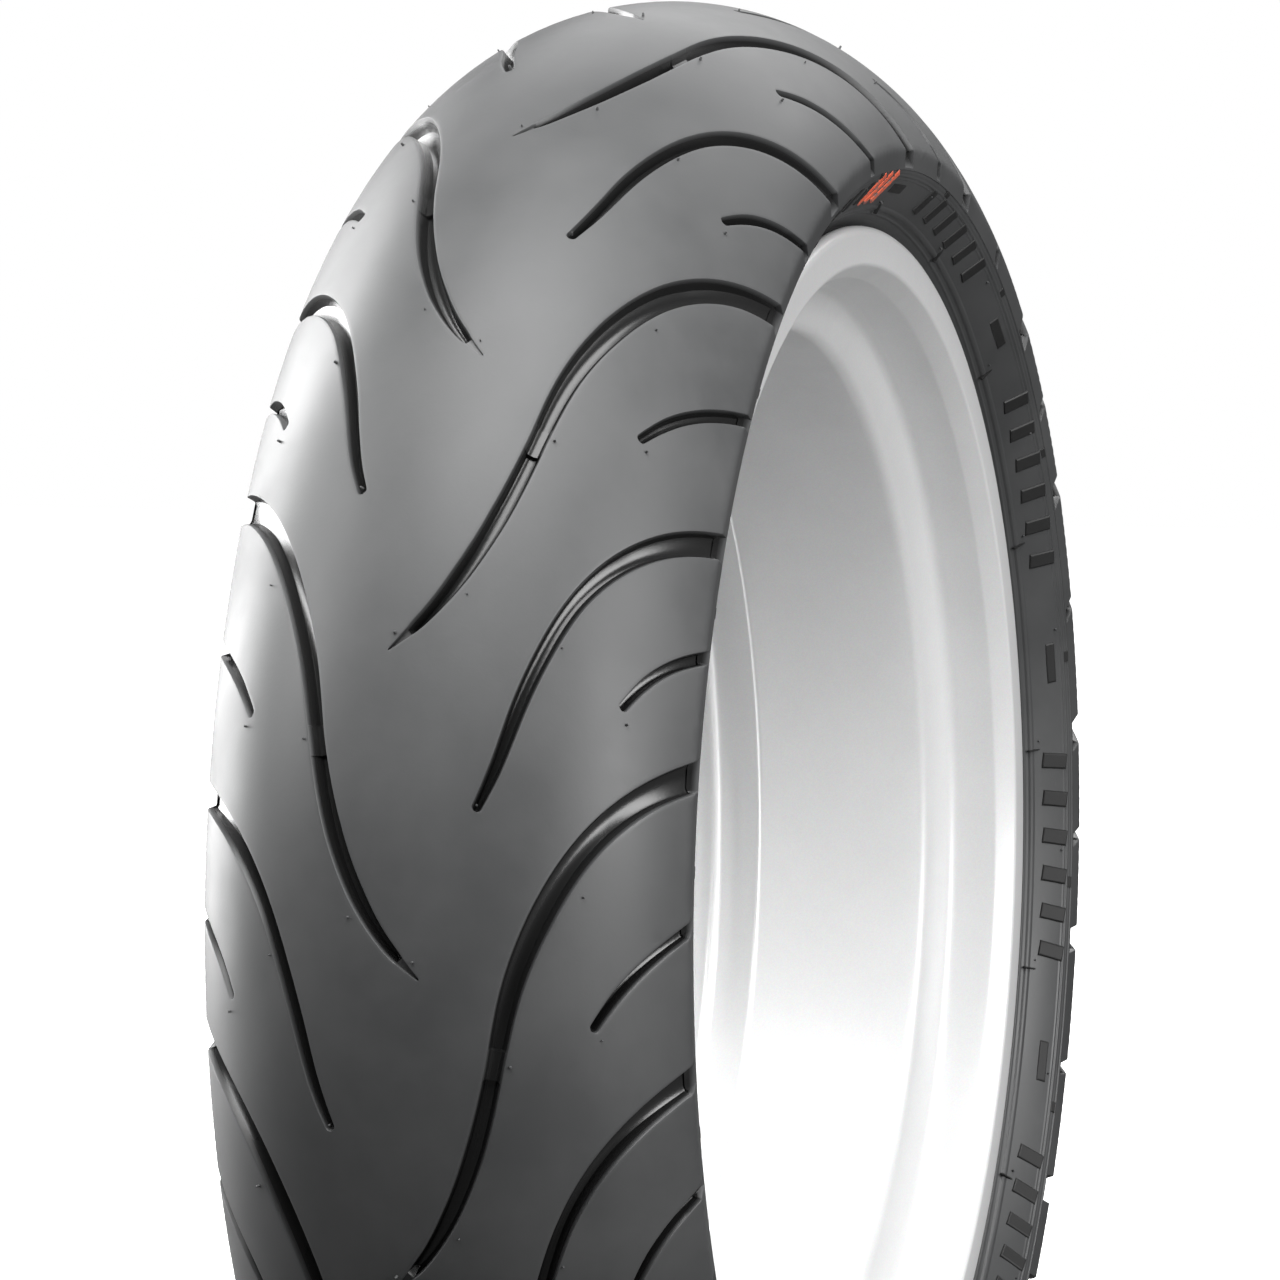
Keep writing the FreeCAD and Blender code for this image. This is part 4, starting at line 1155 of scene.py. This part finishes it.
def threaded_stem(material):
    """The valve's stem with its clamping thread and headed foot."""
    corners = [
        (1.6, -4.4, 0.2), (7.5, -4.4, 0.6), (7.5, -2.0, 0.4), (STEM_RADIUS, -2.0, 0.3),
        (STEM_RADIUS, 30.0, 0.35), (2.6, 30.0, 0.2), (2.6, 13.0, 0.2), (1.6, 13.0, 0.2),
    ]
    outline = refined(rounded(corners, steps=3), 0.22)
    outline = [point for point in outline
               if point[0] > STEM_RADIUS - 0.4 or abs(point[1] * 2 - round(point[1] * 2)) < 0.3]
    thread = thread_relief(10.6, 29.4, STEM_RADIUS)
    piece = valve_turned("threaded_stem", outline, 40, thread, sharp_angle=60)
    return belongs(coat(piece, material), "wheel", ["valve_stem"])


def clamp_nut(material):
    """The hexagon nut with chamfered corners."""
    def relief(r, height, angle):
        flat = NUT_HALF_FLATS / math.cos(math.radians(angle % 60 - 30))
        return (min(r, flat), height) if r > 5.0 else (r, height)
    outline = [(3.9, 6.2), (5.7, 6.2), (6.0, 6.35), (6.95, 6.85), (6.95, 9.55),
               (6.0, 10.05), (5.7, 10.2), (4.3, 10.2), (3.9, 9.9)]
    piece = valve_turned("clamp_nut", outline, 120, relief, sharp_angle=28)
    return belongs(coat(piece, material), "wheel", ["valve_nut"])


def fluted_cap(material):
    """The dust cap with its finger flutes."""
    def relief(r, height, angle):
        if r < 5.0 or height > FLUTE_TOP:
            return r, height
        aside = math.radians((angle + FLUTE_SPACING / 2) % FLUTE_SPACING - FLUTE_SPACING / 2)
        across = CAP_RADIUS * math.sin(aside)
        if abs(across) >= FLUTE_RADIUS:
            return r, height
        bottom = CAP_RADIUS * math.cos(aside) - math.sqrt(FLUTE_RADIUS ** 2 - across ** 2)
        fade = min(max((FLUTE_TOP - height) / 0.5, 0.0), 1.0)
        return r + (min(r, bottom) - r) * fade, height
    corners = [
        (4.1, 20.6, 0.2), (CAP_RADIUS, 20.6, 0.35), (CAP_RADIUS, 32.6, 1.0), (3.4, 32.6, 0.2),
        (3.2, 32.35, 0.1), (0.0, 32.35, 0.0), (0.0, 31.0, 0.0), (4.1, 31.0, 0.1),
    ]
    outline = refined(rounded(corners, steps=4), 1.0)
    piece = valve_turned("fluted_cap", outline, 216, relief, sharp_angle=45)
    return belongs(coat(piece, material), "cap", ["valve_cap"])


NODE_FINISH = {
    "outer_belt": "belt", "inner_belt": "belt", "carcass_ply": "carcass",
    "inner_liner": "liner", "bead_core_right": "bead", "bead_core_left": "bead",
    "bead_filler_right": "filler", "bead_filler_left": "filler",
    "chafer_right": "filler", "chafer_left": "filler", "valve_grommet": "seal",
    "valve_washer": "steel", "core_plug": "brass", "core_seal": "seal",
    "core_barrel": "brass", "core_pin": "steel", "core_spring": "steel",
    "cap_seal": "seal",
}


# ---------------------------------------------------------------- marks

def tread_vent_spots():
    """Places of the vent stubs on both halves of the tread."""
    spots = []
    for pitch in range(PITCH_COUNT):
        for arc, angle in TREAD_VENTS:
            for side in (1, -1):
                where = angle + PITCH_ANGLE * (pitch + (0 if side > 0 else 0.5))
                turn = math.radians(where + PATTERN_START)
                y, r = CROWN.read(arc * side)
                ny, nr = CROWN.normal(arc * side)
                outward = Vector((nr * math.cos(turn), ny, nr * math.sin(turn)))
                along = Vector((-math.sin(turn), 0, math.cos(turn)))
                spots.append((on_wheel(y, r, where + PATTERN_START), outward, along,
                              Vector((0.9, 0.9, 1.1))))
    return spots


def raised_mark_spots(wall, side):
    """Places of the plain raised blocks round a sidewall: leaning blocks in sets."""
    spots = []
    sets = 10
    for number in range(sets):
        start = 360 * number / sets + 31.0
        for k in range(6):
            spots.append(wall_spot(wall, 9.0, start + k * 3.4, side,
                                   Vector((11.0, 6.0, 0.5)), lean=82.0))
        spots.append(wall_spot(wall, 9.0, start + 27.0, side, Vector((16.0, 4.0, 0.4))))
    return spots


def edge_mark_spots(wall, side):
    """Small blocks under the tread's edge, whose near-black rubber paints the shade of small
    dimples there, and short lines over the rim's lip.
    """
    spots = []
    for pitch in range(PITCH_COUNT * 2):
        angle = PATTERN_START + pitch * PITCH_ANGLE / 2 + (7.0 if side > 0 else 17.0)
        # painted shade: these blocks stand for small dimples, and the near-black rubber they
        # take paints the dimples' shade
        spots.append(wall_spot(wall, 1.6, angle, side, Vector((4.2, 2.2, 0.4))))
        spots.append(wall_spot(wall, 18.0, angle + 8.0, side, Vector((6.5, 0.7, 0.9)),
                               lean=90.0))
    return spots


def wall_vent_spots(wall, side):
    """Vent stubs of a sidewall."""
    spots = []
    for number in range(PITCH_COUNT * 4):
        way = (6.0, 15.8)[number % 2]
        angle = number * PITCH_ANGLE / 4 + (3.0 if side > 0 else 8.0)
        spots.append(wall_spot(wall, way, angle, side, Vector((0.9, 0.9, 1.0))))
    return spots


def paint_bar_spots(wall):
    """Three plain leaning bars of paint on the right sidewall."""
    return [wall_spot(wall, 8.4, 88.0 + step * 2.0, 1, Vector((15.0, 5.2, 0.3)), lean=68.0)
            for step in (-1, 0, 1)]


def wall_marks(materials):
    """Both sidewalls with everything moulded on or painted on them."""
    tree = mark_tree()
    stub, bar = stub_shape(), bar_shape()
    wall = wall_line()
    belongs(marks("tread_vents", tree, stub, tread_vent_spots(), 0.3, materials["tread"]),
            "wheel")
    for label, side in (("right", 1), ("left", -1)):
        skin = sidewall_skin(f"sidewall_skin_{label}", side, materials["sidewall"])
        belongs(skin, "wheel", [f"sidewall_{label}"])
        made = [
            marks(f"raised_bars_{label}", tree, bar, raised_mark_spots(wall, side), 0.0,
                  materials["dark_mark"]),
            # the edge blocks' near-black rubber is painted shade of small dimples under the
            # tread's edge
            marks(f"edge_marks_{label}", tree, bar, edge_mark_spots(wall, side), 0.0,
                  materials["dark_mark"]),
            marks(f"wall_vents_{label}", tree, stub, wall_vent_spots(wall, side), 0.3,
                  materials["sidewall"]),
        ]
        for piece in made:
            belongs(piece, "wheel")
    belongs(marks("paint_bars", tree, bar, paint_bar_spots(wall), 0.0, materials["marking"]),
            "wheel")
    for shape in (stub, bar):
        bpy.data.objects.remove(shape)


# ---------------------------------------------------------------- stage

WORLD_LIGHT = 0.05
FLOOR_BOUNCE = 0.03
FLOOR_GLOW = 0.85


def area_light(name, place, target, size, power, shade=(1.0, 1.0, 1.0)):
    """A soft rectangular light that faces a target. Sizes are in metres."""
    light = bpy.data.lights.new(name, "AREA")
    light.shape = "RECTANGLE"
    light.size, light.size_y = size
    light.energy = power
    light.color = shade
    thing = bpy.data.objects.new(name, light)
    bpy.context.scene.collection.objects.link(thing)
    thing.location = place
    away = Vector(target) - Vector(place)
    thing.rotation_euler = away.to_track_quat("-Z", "Y").to_euler()
    return thing


def pale_floor():
    """A plain pale floor under the wheel."""
    mesh = bpy.data.meshes.new("floor")
    reach = 7.0
    z = -CROWN_RADIUS * MM
    mesh.from_pydata([(-reach, -reach, z), (reach, -reach, z), (reach, reach, z),
                      (-reach, reach, z)], [], [(0, 1, 2, 3)])
    floor = new_object("floor", mesh)
    material, tree, shader, coords = blank_material("floor_paper")
    noise = add_node(tree, "ShaderNodeTexNoise", vector=coords, scale=3.0)
    colour = mix_colours(tree, noise.outputs[0], grey(0.86), grey(0.9))
    ray = tree.nodes.new("ShaderNodeLightPath").outputs["Is Camera Ray"]
    dim = mix_colours(tree, ray, grey(FLOOR_BOUNCE), colour)
    tree.links.new(dim, shader.inputs["Base Color"])
    glow = mix_colours(tree, ray, (0, 0, 0, 1), grey(FLOOR_GLOW))
    tree.links.new(glow, shader.inputs["Emission Color"])
    set_shader(shader, Emission_Strength=1.0, Roughness=0.9)
    mesh.materials.append(material)


def set_world():
    """A white backdrop whose light on the object is softer than it looks."""
    world = bpy.data.worlds.new("studio")
    bpy.context.scene.world = world
    world.use_nodes = True
    tree = world.node_tree
    background = tree.nodes["Background"]
    ray = tree.nodes.new("ShaderNodeLightPath")
    level = add_node(tree, "ShaderNodeMapRange", value=ray.outputs["Is Camera Ray"],
                     to_min=WORLD_LIGHT, to_max=1.0)
    tree.links.new(level.outputs[0], background.inputs["Strength"])
    background.inputs["Color"].default_value = (1, 1, 1, 1)


def set_camera():
    """The camera, a long lens a few metres off and a little above the axle."""
    swing, rise = math.radians(16.87), math.radians(5.63)
    distance = 3.293
    back = Vector((math.cos(swing) * math.cos(rise), math.sin(swing) * math.cos(rise),
                   math.sin(rise)))
    right = Vector((-math.sin(swing), math.cos(swing), 0.0))
    up = back.cross(right)
    aim = right * -0.0114 + up * 0.083
    data = bpy.data.cameras.new("camera")
    data.lens = 257.5
    data.sensor_width = 36.0
    data.clip_start, data.clip_end = 0.1, 60.0
    camera = bpy.data.objects.new("camera", data)
    bpy.context.scene.collection.objects.link(camera)
    camera.location = back * distance
    camera.rotation_euler = (aim - camera.location).to_track_quat("-Z", "Y").to_euler()
    bpy.context.scene.camera = camera


def set_stage():
    """Floor, backdrop, lights and camera."""
    pale_floor()
    set_world()
    area_light("top_softbox", (1.0, 0.1, 2.3), (0.0, 0.0, 0.15), (2.2, 2.2), 130)
    area_light("left_strip", (0.85, -1.9, 1.1), (0.0, 0.0, 0.15), (0.45, 1.4), 34)
    area_light("back_left_softbox", (-0.9, -2.0, 0.45), (0.0, 0.0, -0.05), (1.1, 2.2), 95)
    area_light("right_softbox", (0.9, 2.0, 0.7), (0.0, 0.0, 0.0), (0.9, 1.5), 50)
    area_light("back_floor_light", (-3.4, 0.0, 2.2), (-3.4, 0.0, -0.3), (3.4, 3.4), 110)
    set_camera()
    bpy.context.scene.view_settings.view_transform = "Standard"


# ---------------------------------------------------------------- build

def main():
    """Build every piece and stage it."""
    materials = make_materials()
    tread_skin(materials)
    wall_marks(materials)
    rim_barrel(materials["rim"])
    threaded_stem(materials["brass"])
    clamp_nut(materials["steel"])
    fluted_cap(materials["cap"])
    for node, finish in NODE_FINISH.items():
        coat(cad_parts[node], materials[finish])
    set_stage()


main()
